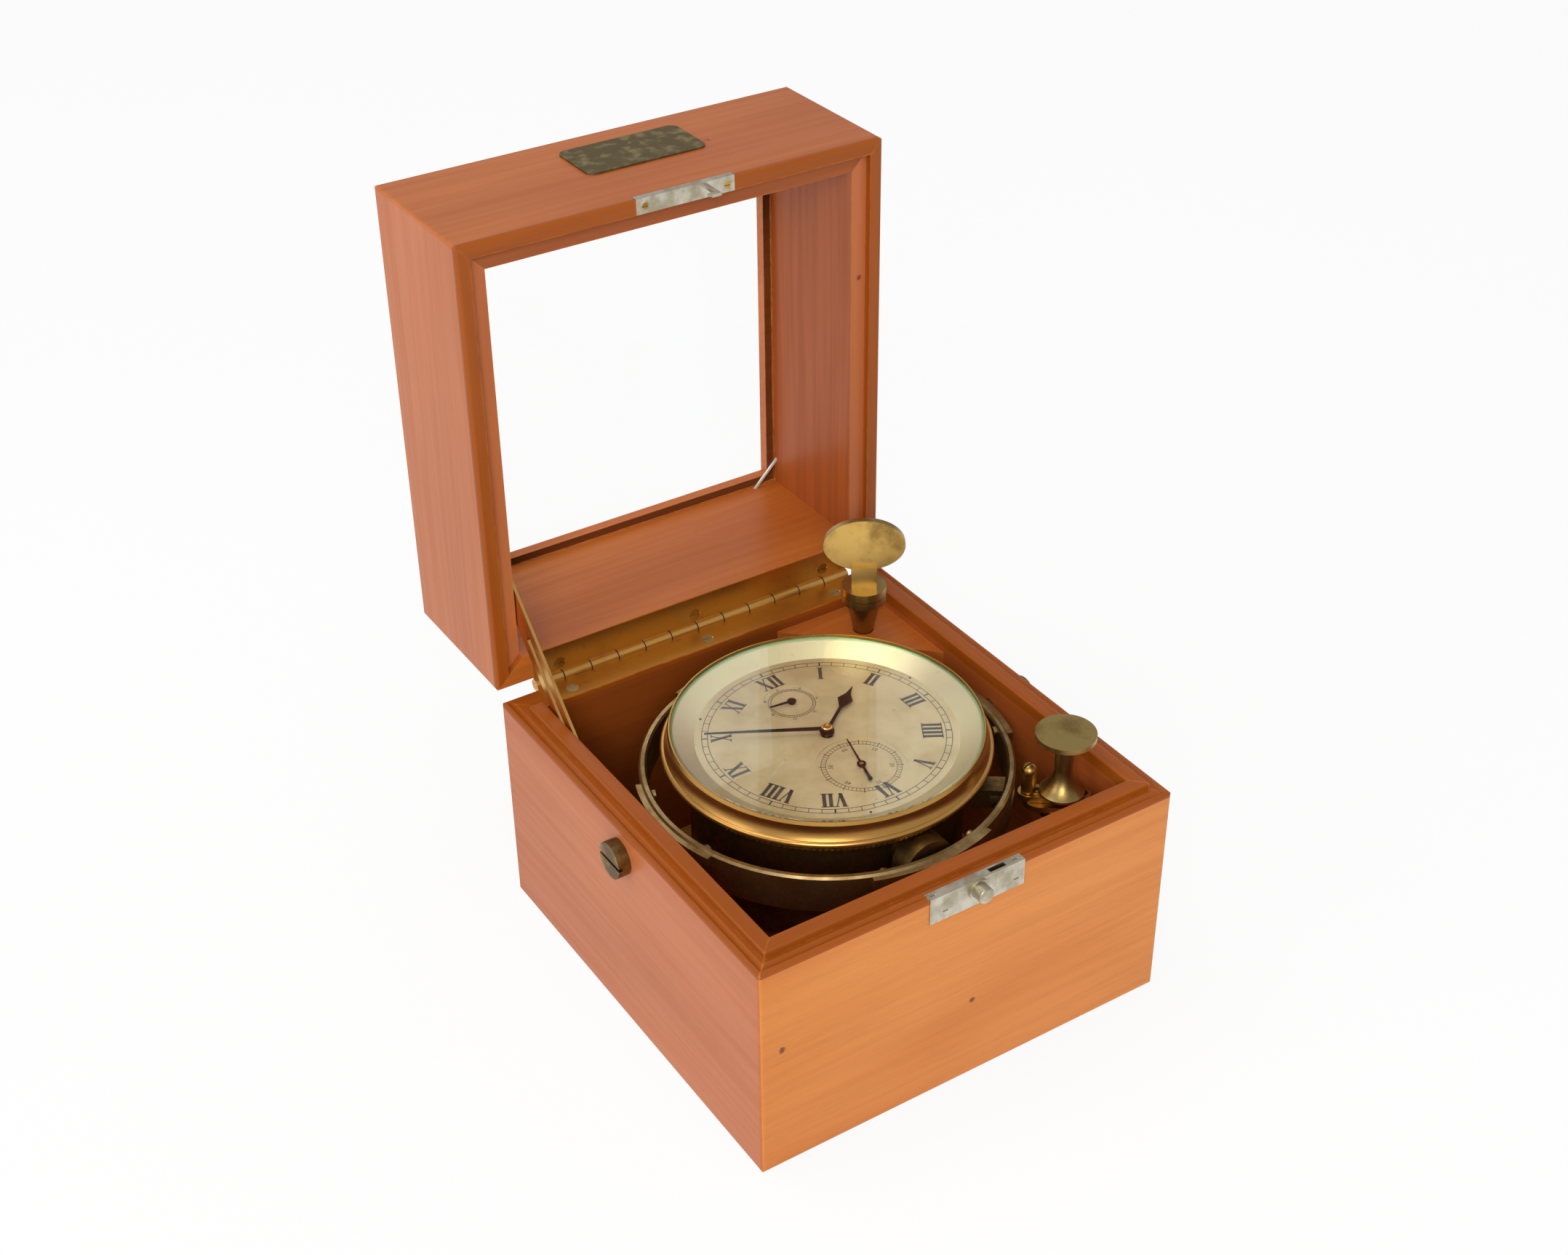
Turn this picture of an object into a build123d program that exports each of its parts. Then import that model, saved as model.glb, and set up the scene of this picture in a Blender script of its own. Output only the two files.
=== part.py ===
from build123d import *
import math
import os

os.makedirs("parts", exist_ok=True)

# Wooden case, millimetres
ring_side_gap = 6.5
ring_front_gap = 10.3
rim_height = 96.7
lid_depth = 68.75
wall = 12.5
floor_thickness = 8.0
corner_round = 1.6
edge_round = 1.5
lip_height = 3.0
ledge_width = 6.2
cove_radius = 2.2
cove_depth = 0.5
rim_gap = 0.4
lip_clearance = 0.4
rabbet_headroom = 0.6
pane_thickness = 2.2
pane_ledge = 3.6
pane_clearance = 0.2
top_frame_thickness = 4.85
sprig_leg = 12.0
sprig_width = 1.3
sprig_thickness = 1.0

# Butt hinge along the back rim
knuckle_count = 12
knuckle_radius = 2.5
knuckle_gap = 0.2
knuckle_clearance = 0.3
hinge_length = 152.0
hinge_pin_radius = 1.1
hinge_running_fit = 0.05
leaf_thickness = 1.3
leaf_margin = 0.6
leaf_screw_spread = 64.0
base_leaf_screw_inset = 7.1
lid_leaf_screw_inset = 3.6

# Slotted stay on the left
stay_reach = 49.0
stay_rise = 16.0
stay_slot_width = 3.7
stay_rail_width = 4.2
stay_thickness = 1.2
stay_gap = 0.3
stay_stud_radius = 1.5
stay_head_radius = 3.5
stay_head_thickness = 1.6
stay_stud_depth = 6.0

# Wood screws
screw_head_radius = 2.6
screw_shank_radius = 1.2
screw_length = 8.0
screw_slot_width = 0.7
screw_slot_depth = 0.7

# Gimbal
gimbal_drop = 13.1
ring_boss_gap = 1.5
ring_thickness = 3.1
ring_height = 15.6
ring_edge_round = 0.8
pad_angle = 20.7
pad_thickness = 2.2
pad_rise = 3.0
pad_height = 4.0
pad_screw_angle = 16.5
pad_screw_head_radius = 1.9
pad_screw_head_height = 1.3
pad_screw_radius = 1.1
pivot_head_radius = 7.5
pivot_head_thickness = 5.2
pivot_shank_radius = 3.5
pivot_shank_proud = 3.0
pivot_slot_width = 1.4
pivot_slot_depth = 1.6
ring_pivot_radius = 2.0
bowl_pivot_radius = 1.8
bowl_pivot_head_radius = 2.7
bowl_pivot_head_height = 1.8
bowl_pivot_shank_radius = 2.4
bowl_pivot_engagement = 6.4
running_fit = 0.05

# Bowl and its glazing
bowl_radius = 54.0
bowl_wall = 2.0
bowl_floor = 2.0
bowl_drop = 49.1
bowl_corner_radius = 10.5
seat_width = 1.2
seat_drop = 3.5
flange_width = 8.5
flange_rise = 11.9
flange_thickness = 2.0
boss_radius = 11.25
boss_neck_radius = 7.0
boss_reach = 14.9
boss_thickness = 8.9
lug_beyond_boss = 0.9
lug_width = 9.0
lug_drop = 3.0
lug_height = 8.3
lug_slot_depth = 7.0
arm_slot_clearance = 0.5
bead_overhang = 2.36
bead_section = 1.4
bezel_bore_inset = 1.6
bezel_rim_width = 0.5
bezel_height = 10.25
crystal_drop = 2.15
crystal_edge = 1.0
crystal_bevel = 1.3
crystal_rise = 0.9
reflector_thickness = 0.9

# Dial and hands
dial_inset = 7.7
dial_overlap = 1.7
dial_rise = 3.7
dial_thickness = 1.2
subdial_sink = 0.3
seconds_subdial_radius = 17.5
power_subdial_radius = 11.6
power_subdial_distance = 24.9
dial_foot_radius = 1.5
dial_foot_circle = 46.0
hand_thickness = 0.5
hour_hand_length = 31.5
hour_hand_angle = 37.2
hour_hand_rise = 1.3
minute_hand_length = 47.5
minute_hand_angle = 150.2
minute_hand_rise = 2.4
seconds_hand_length = 16.4
seconds_tail_length = 9.5
seconds_hand_angle = 75.7
small_hand_rise = 0.5
power_hand_length = 9.6
power_hand_angle = 172.6
hour_pipe_outer = 2.4
hub_radius = 2.3

# Going train: tooth counts, modules, levels
centre_teeth = 60
centre_module = 0.7
third_pinion_leaves = 8
third_teeth = 64
third_module = 0.6
fourth_pinion_leaves = 8
fourth_teeth = 64
fourth_module = 0.5
escape_pinion_leaves = 8
great_teeth = 72
centre_pinion_leaves = 12
fourth_distance = 23.6
fusee_distance = 26.0
fusee_azimuth = 147.5
barrel_distance = 30.0
barrel_azimuth = 53.0
barrel_radius = 17.5
barrel_height = 18.0
escape_azimuth = 205.0
escape_radius = 9.0
escape_wheel_teeth = 15
wheel_thickness = 1.2
wheel_rim_width = 2.0
wheel_arm_width = 1.6
wheel_hub_radius = 3.6
pinion_height = 4.0
arbor_radius = 0.9
pivot_radius = 0.5
pivot_inset = 1.0
centre_arbor_radius = 1.2
fusee_arbor_radius = 2.0
fusee_large_radius = 17.0
fusee_small_radius = 8.5
fusee_turns = 7
winding_square = 3.6
winding_square_rise = 4.0
pillar_plate_clearance = 0.2
pillar_plate_thickness = 3.0
plate_spacing = 29.0
top_plate_thickness = 3.0
top_plate_inset = 4.8
pillar_radius = 3.0
pillar_inset = 8.8
pillar_azimuths = (10.0, 100.0, 205.0, 290.0)
centre_wheel_drop = 3.4
third_wheel_drop = 12.0
fourth_wheel_drop = 18.0
great_wheel_drop = 24.8
escape_wheel_drop = 3.5
balance_radius = 14.0
balance_drop = 11.0
balance_rim_height = 3.0
balance_escape_distance = 13.04
balance_azimuth_from_escape = 66.0
roller_radius = 3.6
cock_drop = 21.0
cock_thickness = 3.0
cock_reach = 20.0
cock_azimuth = 160.0
detent_root_distance = 25.6
detent_root_azimuth = 183.0
detent_tip_azimuth = 194.0
spring_turns = 5
spring_radius = 4.8
spring_blade = 0.3
spring_height = 6.0

# Winding hole and its dust cover
winding_hole_radius = 6.0
cover_lobe_radius = 9.0
cover_reach = 13.0
cover_azimuth = 147.5
cover_thickness = 1.0
cover_gap = 0.3
cover_pin_radius = 1.5

# Gimbal lock in the front right corner
knob_side_gap = 13.0
knob_front_gap = 21.0
arm_direction = 143.5
arm_width = 8.4
arm_thickness = 2.5
arm_rise = 2.4
arm_tip = 17.0
arm_tail = 11.3
arm_slot_width = 4.6
arm_travel = 7.5
arm_running_gap = 0.2
window_clearance = 1.05
window_height_clearance = 0.9
lock_post_distance = 13.0
lock_post_radius = 2.9
lock_post_shank_radius = 1.5
lock_post_rise = 13.0
lock_post_ball_radius = 3.2
lock_stud_radius = 2.0
knob_base_radius = 8.9
knob_stem_radius = 3.6
knob_disc_radius = 11.8
knob_disc_thickness = 2.1
knob_rise = 28.5
bracket_thickness = 2.4
bracket_width = 14.0
bracket_foot_radius = 8.5
bracket_reach = 15.0
bracket_tail = 9.0
lock_block_leg = 40.0
lock_block_drop = 19.7
lock_block_height = 30.0

# Key and its corner shelf
shelf_drop = 5.0
shelf_thickness = 22.0
shelf_width = 49.0
shelf_depth = 51.6
key_side_gap = 17.6
key_back_gap = 18.2
key_recess_depth = 5.0
key_recess_clearance = 0.3
key_barrel_radius = 4.1
key_cone_radius = 7.4
key_cone_rise = 15.0
key_collar_radius = 9.4
key_collar_height = 3.5
key_collar_gap = 0.2
key_spigot_radius = 2.5
key_spigot_length = 8.0
key_neck_width = 10.4
key_neck_rise = 7.3
key_neck_height = 10.0
key_head_width = 34.0
key_head_height = 23.6
key_head_rise = 21.5
key_head_thickness = 3.0
key_head_turn = -32.5

# Push-button lock in the front rim
lock_plate_left = -20.5
lock_plate_right = 22.0
lock_plate_height = 11.5
lock_plate_thickness = 1.0
lock_plate_proud = 0.5
lock_plate_top_width = 3.5
lock_slot_left = 6.8
lock_slot_right = 14.2
lock_slot_width = 2.0
lock_button_x = 1.2
lock_button_drop = 4.7
lock_button_radius = 3.3
lock_button_proud = 5.0
lock_collar_radius = 4.5
lock_collar_proud = 0.8
lock_case_left = -6.0
lock_case_right = 17.0
lock_case_height = 10.1
lock_case_depth = 8.1
lock_case_wall = 0.8
button_stem_radius = 1.5
button_stem_length = 3.9
bolt_thickness = 1.2
bolt_setback = 4.6
bolt_nose = 9.9
bolt_nose_left = 7.3
bolt_nose_setback = 0.6
bolt_tail = -2.2
bolt_nose_half_height = 1.2
bolt_below_button = 4.4
bolt_above_button = 2.6
bolt_travel = 2.4
hook_left = 8.2
hook_shank_left = 11.2
hook_right = 13.2
hook_thickness = 1.2
hook_drop = 8.8
hook_nose_height = 2.1
strike_left = -18.4
strike_right = 24.2
strike_width = 5.7
strike_leg = 3.0
lock_front_screws = (-13.3, 18.6)
lock_screw_drop = 7.6
lock_top_screws = (-18.0, 18.9)
strike_screws = (-14.5, 21.2)
small_screw_head_radius = 1.5
small_screw_shank_radius = 0.8
small_screw_length = 5.0

# Bare name plate on the front of the lid
name_plate_left = -21.5
name_plate_right = 31.0
name_plate_low = 30.0
name_plate_high = 56.5
name_plate_thickness = 0.8
name_plate_corner = 3.5
name_plate_pin_inset = 3.0
name_plate_pin_radius = 0.9
name_plate_pin_length = 5.0

# Derived places
boss_face = bowl_radius + boss_reach
ring_outer_radius = boss_face + ring_boss_gap + ring_thickness
ring_inner_radius = ring_outer_radius - ring_thickness
flange_radius = bowl_radius + flange_width
lug_radius = boss_face + lug_beyond_boss
bead_radius = flange_radius + bead_overhang
bezel_bore_radius = flange_radius - bezel_bore_inset
bezel_rim_radius = bezel_bore_radius + bezel_rim_width
bowl_inner_radius = bowl_radius - bowl_wall
dial_radius = bezel_bore_radius - dial_inset
dial_opening_radius = dial_radius - dial_overlap
pillar_plate_radius = bowl_inner_radius - pillar_plate_clearance
top_plate_radius = pillar_plate_radius - top_plate_inset
pillar_circle = pillar_plate_radius - pillar_inset
case_width = 2 * (ring_outer_radius + ring_side_gap + wall)
case_depth = 2 * (ring_outer_radius + ring_front_gap + wall)
half_width = case_width / 2
half_depth = case_depth / 2
inner_x = half_width - wall
inner_y = half_depth - wall
lip_width = wall - ledge_width
lip_back = inner_y - lip_clearance
rabbet_width = lip_width + lip_clearance
rabbet_depth = lip_height - rim_gap + rabbet_headroom
hinge_y = half_depth + knuckle_radius + knuckle_clearance
hinge_z = rim_height + rim_gap / 2
knuckle_pitch = hinge_length / knuckle_count
leaf_front = inner_y + leaf_margin
stay_left = -inner_x + stay_gap
face_y = -half_depth
gimbal_height = rim_height - gimbal_drop
pad_low = gimbal_height + pad_rise
pad_high = pad_low + pad_height
bowl_bottom = gimbal_height - bowl_drop
flange_low = gimbal_height + flange_rise
seat_height = flange_low - seat_drop
lug_low = gimbal_height - lug_drop
lug_high = lug_low + lug_height
flange_top = flange_low + flange_thickness
bead_height = flange_top + bead_section
bezel_top = flange_top + bezel_height
crystal_low = bezel_top - crystal_drop
dial_top = flange_top + dial_rise
hour_hand_height = dial_top + hour_hand_rise
minute_hand_height = dial_top + minute_hand_rise
seconds_hand_height = dial_top + small_hand_rise
power_hand_height = dial_top + small_hand_rise
winding_square_low = bowl_bottom + winding_square_rise
pillar_plate_low = seat_height
top_plate_low = pillar_plate_low - plate_spacing
centre_wheel_level = pillar_plate_low - centre_wheel_drop
third_wheel_level = pillar_plate_low - third_wheel_drop
fourth_wheel_level = pillar_plate_low - fourth_wheel_drop
great_wheel_level = pillar_plate_low - great_wheel_drop
escape_wheel_level = top_plate_low - escape_wheel_drop
balance_level = top_plate_low - balance_drop
cock_low = top_plate_low - cock_drop
knob_x = inner_x - knob_side_gap
knob_y = knob_front_gap - inner_y
arm_top = gimbal_height + arm_rise
lock_post_top = arm_top + lock_post_rise
knob_top = arm_top + knob_rise
lock_block_top = rim_height - lock_block_drop
shelf_top = rim_height - shelf_drop
shelf_back_x = inner_x - shelf_width
shelf_side_y = inner_y - shelf_depth
key_x = inner_x - key_side_gap
key_y = inner_y - key_back_gap
key_cone_top = shelf_top + key_cone_rise
key_neck_low = key_cone_top + key_neck_rise
key_neck_high = key_neck_low + key_neck_height
key_head_top = key_neck_high + key_head_rise
lock_plate_low = rim_height - lock_plate_height
lock_button_height = rim_height - lock_button_drop
lock_case_low = rim_height - lock_case_height
lock_plate_face = face_y - lock_plate_proud
lock_plate_back = lock_plate_face + lock_plate_thickness
button_stem_end = lock_plate_back + button_stem_length
bolt_back = lock_plate_back + bolt_setback
bolt_nose_front = lock_plate_back + bolt_nose_setback
bolt_nose_low = lock_button_height - bolt_nose_half_height
bolt_nose_high = lock_button_height + bolt_nose_half_height
bolt_low = lock_button_height - bolt_below_button
bolt_high = lock_button_height + bolt_above_button
lock_screw_height = rim_height - lock_screw_drop

MIDDLE_LOW = (Align.CENTER, Align.CENTER, Align.MIN)
MIDDLE_HIGH = (Align.CENTER, Align.CENTER, Align.MAX)

# The lid stands open at a right angle. Its frame has the closed case's own directions:
# x along the width, y towards the back, z up from the lid's rim.
base_frame = Plane.XY
lid_frame = Plane((0, hinge_y + rim_gap / 2, hinge_z + hinge_y), x_dir=(1, 0, 0), z_dir=(0, 1, 0))


def across(frame):
    """Plane square to a frame's width, with the frame's depth as x and its height as y."""
    return Plane(frame.origin, x_dir=frame.y_dir, z_dir=frame.x_dir)


def along(frame):
    """Plane square to a frame's depth, with the frame's width as x and its height as y."""
    return Plane(frame.origin, x_dir=frame.x_dir, z_dir=-frame.y_dir)


def polar(radius, azimuth):
    """Point at a radius and an azimuth in degrees."""
    return (radius * math.cos(math.radians(azimuth)), radius * math.sin(math.radians(azimuth)))


def offset_point(start, radius, azimuth):
    """Point at a distance and an azimuth from another point."""
    reach = polar(radius, azimuth)
    return (start[0] + reach[0], start[1] + reach[1])


def azimuth_between(start, end):
    """Azimuth in degrees from one point to another."""
    return math.degrees(math.atan2(end[1] - start[1], end[0] - start[0]))


# Case walls


def case_wall_section(half_size, side, height):
    """Section of a wall with its outer edges rounded; side is -1 or 1."""
    outer = 0 if side < 0 else -1
    with Locations((side * (half_size - wall / 2), height / 2)):
        Rectangle(wall, height)
    fillet(vertices().group_by(Axis.X)[outer], radius=edge_round)


def cove_cut(half_size, side):
    """Shallow cove along the ledge outside the lip."""
    with Locations((side * (half_size - ledge_width / 2), rim_height + cove_radius - cove_depth)):
        Circle(cove_radius, mode=Mode.SUBTRACT)


def lip_section(half_size, side):
    """Raised lip on the inner half of the rim."""
    with Locations((side * (half_size - wall + lip_width / 2), rim_height + lip_height / 2)):
        Rectangle(lip_width, lip_height)
    fillet(vertices().group_by(Axis.Y)[-1], radius=edge_round / 2)


def rabbet_cut(half_size, side):
    """Rabbet inside the lid's rim that drops over the lip."""
    with Locations((side * (half_size - wall + rabbet_width / 2), rabbet_depth / 2)):
        Rectangle(rabbet_width, rabbet_depth, mode=Mode.SUBTRACT)


def mitre(frame, side_x, side_y, keep_x, keep_y):
    """Cuts the wall through one corner of the case at 45 degrees and keeps one side."""
    corner = frame.from_local_coords((side_x * half_width, side_y * half_depth, 0))
    direction = frame.x_dir * keep_x + frame.y_dir * keep_y
    split(bisect_by=Plane(corner, z_dir=direction), keep=Keep.TOP)


def mitre_both_ends(frame, side_x, side_y):
    """Mitres a wall at both of its corners; the side that isn't 0 says which wall it is."""
    if side_x == 0:
        for end in (-1, 1):
            mitre(frame, end, side_y, -end, side_y)
    else:
        for end in (-1, 1):
            mitre(frame, side_x, end, side_x, -end)


def round_corners(frame, low, high):
    """Rounds the case's upright corners."""
    with BuildSketch(frame.offset(low)) as outline:
        RectangleRounded(case_width, case_depth, corner_round)
    extrude(outline.sketch, amount=high - low, mode=Mode.INTERSECT)


def countersunk_screw(place, head_radius, shank_radius, length):
    """Slotted wood screw with its head's face at the place."""
    with Locations(place):
        Cone(shank_radius, head_radius, head_radius - shank_radius, align=MIDDLE_HIGH)
        Cylinder(shank_radius, length, align=MIDDLE_HIGH)
        Box(2 * head_radius, screw_slot_width, screw_slot_depth / 2, align=MIDDLE_HIGH, mode=Mode.SUBTRACT)


def countersunk_hole(place, head_radius, shank_radius, length):
    """Hole that the same screw fills."""
    with Locations(place):
        Cone(shank_radius, head_radius, head_radius - shank_radius, align=MIDDLE_HIGH, mode=Mode.SUBTRACT)
        Cylinder(shank_radius, length, align=MIDDLE_HIGH, mode=Mode.SUBTRACT)


def large_screw(place):
    """Screw of the hinge."""
    countersunk_screw(place, screw_head_radius, screw_shank_radius, screw_length)


def large_hole(place):
    """Hole for a hinge screw."""
    countersunk_hole(place, screw_head_radius, screw_shank_radius, screw_length)


def small_screw(place):
    """Screw of the lock plate and of the strike plate."""
    countersunk_screw(place, small_screw_head_radius, small_screw_shank_radius, small_screw_length)


def small_hole(place):
    """Hole for a lock or strike screw."""
    countersunk_hole(place, small_screw_head_radius, small_screw_shank_radius, small_screw_length)


def polar_plane(azimuth, radius, height):
    """Plane that faces outwards from the upright axis, with z along the radius."""
    outwards = (math.cos(math.radians(azimuth)), math.sin(math.radians(azimuth)), 0)
    sideways = (-outwards[1], outwards[0], 0)
    return Plane((radius * outwards[0], radius * outwards[1], height), x_dir=sideways, z_dir=outwards)


leaf_screw_x = (-leaf_screw_spread, 0.0, leaf_screw_spread)
base_leaf_screws = [Location((x, half_depth - base_leaf_screw_inset, rim_height)) for x in leaf_screw_x]
lid_leaf_screws = [Location((x, half_depth - lid_leaf_screw_inset, 0), (180, 0, 0)) for x in leaf_screw_x]

lock_top_screw_y = face_y + lock_plate_top_width / 2 - 0.4
front_screw_places = [
    Location((x, lock_plate_face, lock_screw_height), (90, 0, 0)) for x in lock_front_screws
]
top_screw_places = [Location((x, lock_top_screw_y, rim_height)) for x in lock_top_screws]
strike_screw_places = [Location((x, face_y + strike_width / 2, 0), (180, 0, 0)) for x in strike_screws]

stay_stud_place = (hinge_y - stay_reach, hinge_z - stay_rise)
stay_pivot_place = (hinge_y + stay_rise, hinge_z + stay_reach)
stay_pivot_in_lid = (hinge_y - stay_reach, stay_rise - rim_gap / 2)

with BuildPart() as base_left_wall:
    with BuildSketch(along(base_frame)):
        case_wall_section(half_width, -1, rim_height)
        cove_cut(half_width, -1)
    extrude(amount=half_depth, both=True)
    with BuildSketch(along(base_frame).offset(-lip_back)):
        lip_section(half_width, -1)
    extrude(amount=lip_back + half_depth)
    mitre_both_ends(base_frame, -1, 0)
    round_corners(base_frame, 0, rim_height + lip_height)
    with Locations((-half_width + wall / 2, 0, gimbal_height)):
        Cylinder(pivot_shank_radius, wall, rotation=(0, 90, 0), mode=Mode.SUBTRACT)
    with Locations((-inner_x, *stay_stud_place)):
        Cylinder(stay_stud_radius, 2 * stay_stud_depth, rotation=(0, 90, 0), mode=Mode.SUBTRACT)
base_left_wall.part.label = "base_left_wall"
export_step(base_left_wall.part, "parts/base_left_wall.step")

with BuildPart() as base_right_wall:
    with BuildSketch(along(base_frame)):
        case_wall_section(half_width, 1, rim_height)
        cove_cut(half_width, 1)
    extrude(amount=half_depth, both=True)
    with BuildSketch(along(base_frame).offset(-lip_back)):
        lip_section(half_width, 1)
    extrude(amount=lip_back + half_depth)
    mitre_both_ends(base_frame, 1, 0)
    round_corners(base_frame, 0, rim_height + lip_height)
    with Locations((half_width - wall / 2, 0, gimbal_height)):
        Cylinder(pivot_shank_radius, wall, rotation=(0, 90, 0), mode=Mode.SUBTRACT)
base_right_wall.part.label = "base_right_wall"
export_step(base_right_wall.part, "parts/base_right_wall.step")

with BuildPart() as base_front_wall:
    with BuildSketch(across(base_frame)):
        case_wall_section(half_depth, -1, rim_height)
        cove_cut(half_depth, -1)
        lip_section(half_depth, -1)
    extrude(amount=half_width, both=True)
    mitre_both_ends(base_frame, 0, -1)
    round_corners(base_frame, 0, rim_height + lip_height)
    # Bed of the lock plate, and the pocket of the lock behind it
    with BuildSketch(across(base_frame).offset(lock_plate_left)):
        with BuildLine():
            Polyline(
                (lock_plate_face, lock_plate_low),
                (lock_plate_back, lock_plate_low),
                (lock_plate_back, rim_height - lock_plate_thickness),
                (face_y + lock_plate_top_width, rim_height - lock_plate_thickness),
                (face_y + lock_plate_top_width, rim_height + cove_radius),
                (lock_plate_face, rim_height + cove_radius),
                close=True,
            )
        make_face()
    extrude(amount=lock_plate_right - lock_plate_left, mode=Mode.SUBTRACT)
    with BuildSketch(Plane.XY.offset(lock_case_low)):
        with Locations((lock_case_left, lock_plate_back)):
            Rectangle(lock_case_right - lock_case_left, lock_case_depth, align=(Align.MIN, Align.MIN))
    extrude(amount=rim_height - lock_plate_thickness - lock_case_low, mode=Mode.SUBTRACT)
    for place in front_screw_places + top_screw_places:
        small_hole(place)
base_front_wall.part.label = "base_front_wall"
export_step(base_front_wall.part, "parts/base_front_wall.step")

with BuildPart() as base_back_wall:
    with BuildSketch(across(base_frame)):
        case_wall_section(half_depth, 1, rim_height)
    extrude(amount=half_width, both=True)
    mitre_both_ends(base_frame, 0, 1)
    round_corners(base_frame, 0, rim_height)
    with Locations((0, leaf_front, rim_height)):
        Box(
            hinge_length,
            wall,
            leaf_thickness,
            align=(Align.CENTER, Align.MIN, Align.MAX),
            mode=Mode.SUBTRACT,
        )
    for place in base_leaf_screws:
        large_hole(place)
base_back_wall.part.label = "base_back_wall"
export_step(base_back_wall.part, "parts/base_back_wall.step")

with BuildPart() as base_floor:
    with BuildSketch(Plane.XY):
        Rectangle(2 * inner_x, 2 * inner_y)
    extrude(amount=floor_thickness)
base_floor.part.label = "base_floor"
export_step(base_floor.part, "parts/base_floor.step")

with BuildPart() as key_shelf:
    with BuildSketch(Plane.XY.offset(shelf_top - shelf_thickness)):
        with BuildLine():
            Polyline((shelf_back_x, inner_y), (inner_x, inner_y), (inner_x, shelf_side_y), close=True)
        make_face()
    extrude(amount=shelf_thickness)
    with Locations((key_x, key_y, shelf_top)):
        Cylinder(
            key_barrel_radius + key_recess_clearance,
            key_recess_depth,
            align=MIDDLE_HIGH,
            mode=Mode.SUBTRACT,
        )
key_shelf.part.label = "key_shelf"
export_step(key_shelf.part, "parts/key_shelf.step")

# Hinge


def knuckle_row(first, hinge_local_z, thickness_side):
    """Every second knuckle from the first one, each with its tongue back to the leaf."""
    for index in range(first, knuckle_count, 2):
        middle = -hinge_length / 2 + (index + 0.5) * knuckle_pitch
        with Locations((middle, hinge_y, hinge_local_z)):
            Cylinder(knuckle_radius, knuckle_pitch - knuckle_gap, rotation=(0, 90, 0))
        with Locations((middle, hinge_y, hinge_local_z + thickness_side * rim_gap / 2)):
            Box(
                knuckle_pitch - knuckle_gap,
                hinge_y - half_depth,
                leaf_thickness,
                align=(Align.CENTER, Align.MAX, Align.MIN if thickness_side > 0 else Align.MAX),
            )


with BuildPart() as hinge_base_leaf:
    with Locations((0, leaf_front, rim_height)):
        Box(
            hinge_length,
            half_depth - leaf_front,
            leaf_thickness,
            align=(Align.CENTER, Align.MIN, Align.MAX),
        )
    knuckle_row(0, hinge_z, -1)
    with Locations((0, hinge_y, hinge_z)):
        Cylinder(hinge_pin_radius, hinge_length, rotation=(0, 90, 0), mode=Mode.SUBTRACT)
    for place in base_leaf_screws:
        large_hole(place)
hinge_base_leaf.part.label = "hinge_base_leaf"
export_step(hinge_base_leaf.part, "parts/hinge_base_leaf.step")

with BuildPart(lid_frame) as hinge_lid_leaf:
    with Locations((0, leaf_front, 0)):
        Box(
            hinge_length,
            half_depth - leaf_front,
            leaf_thickness,
            align=(Align.CENTER, Align.MIN, Align.MIN),
        )
    knuckle_row(1, -rim_gap / 2, 1)
    with Locations((0, hinge_y, -rim_gap / 2)):
        Cylinder(
            hinge_pin_radius + hinge_running_fit,
            hinge_length,
            rotation=(0, 90, 0),
            mode=Mode.SUBTRACT,
        )
    for place in lid_leaf_screws:
        large_hole(place)
hinge_lid_leaf.part.label = "hinge_lid_leaf"
export_step(hinge_lid_leaf.part, "parts/hinge_lid_leaf.step")

with BuildPart() as hinge_pin:
    with Locations((0, hinge_y, hinge_z)):
        Cylinder(hinge_pin_radius, hinge_length, rotation=(0, 90, 0))
hinge_pin.part.label = "hinge_pin"
export_step(hinge_pin.part, "parts/hinge_pin.step")

with BuildPart() as base_screws:
    for place in base_leaf_screws:
        large_screw(place)
    for place in front_screw_places + top_screw_places:
        small_screw(place)
base_screws.part.label = "base_screws"
export_step(base_screws.part, "parts/base_screws.step")

# Lid


def name_plate_outline(plane_depth):
    """Rounded outline of the name plate on the lid's front."""
    width = name_plate_right - name_plate_left
    height = name_plate_high - name_plate_low
    with BuildSketch(along(lid_frame).offset(plane_depth)) as outline:
        with Locations(((name_plate_left + name_plate_right) / 2, (name_plate_low + name_plate_high) / 2)):
            RectangleRounded(width, height, name_plate_corner)
    return outline.sketch


name_plate_pin_places = [
    Location((x, face_y - name_plate_thickness, z), (90, 0, 0))
    for x in (name_plate_left + name_plate_pin_inset, name_plate_right - name_plate_pin_inset)
    for z in (name_plate_low + name_plate_pin_inset, name_plate_high - name_plate_pin_inset)
]

with BuildPart(lid_frame) as lid_left_wall:
    with BuildSketch(along(lid_frame)):
        case_wall_section(half_width, -1, lid_depth)
        rabbet_cut(half_width, -1)
    extrude(amount=half_depth, both=True)
    mitre_both_ends(lid_frame, -1, 0)
    round_corners(lid_frame, 0, lid_depth)
    with Locations((-inner_x, *stay_pivot_in_lid)):
        Cylinder(stay_stud_radius, 2 * stay_stud_depth, rotation=(0, 90, 0), mode=Mode.SUBTRACT)
lid_left_wall.part.label = "lid_left_wall"
export_step(lid_left_wall.part, "parts/lid_left_wall.step")

with BuildPart(lid_frame) as lid_right_wall:
    with BuildSketch(along(lid_frame)):
        case_wall_section(half_width, 1, lid_depth)
        rabbet_cut(half_width, 1)
    extrude(amount=half_depth, both=True)
    mitre_both_ends(lid_frame, 1, 0)
    round_corners(lid_frame, 0, lid_depth)
lid_right_wall.part.label = "lid_right_wall"
export_step(lid_right_wall.part, "parts/lid_right_wall.step")

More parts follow.
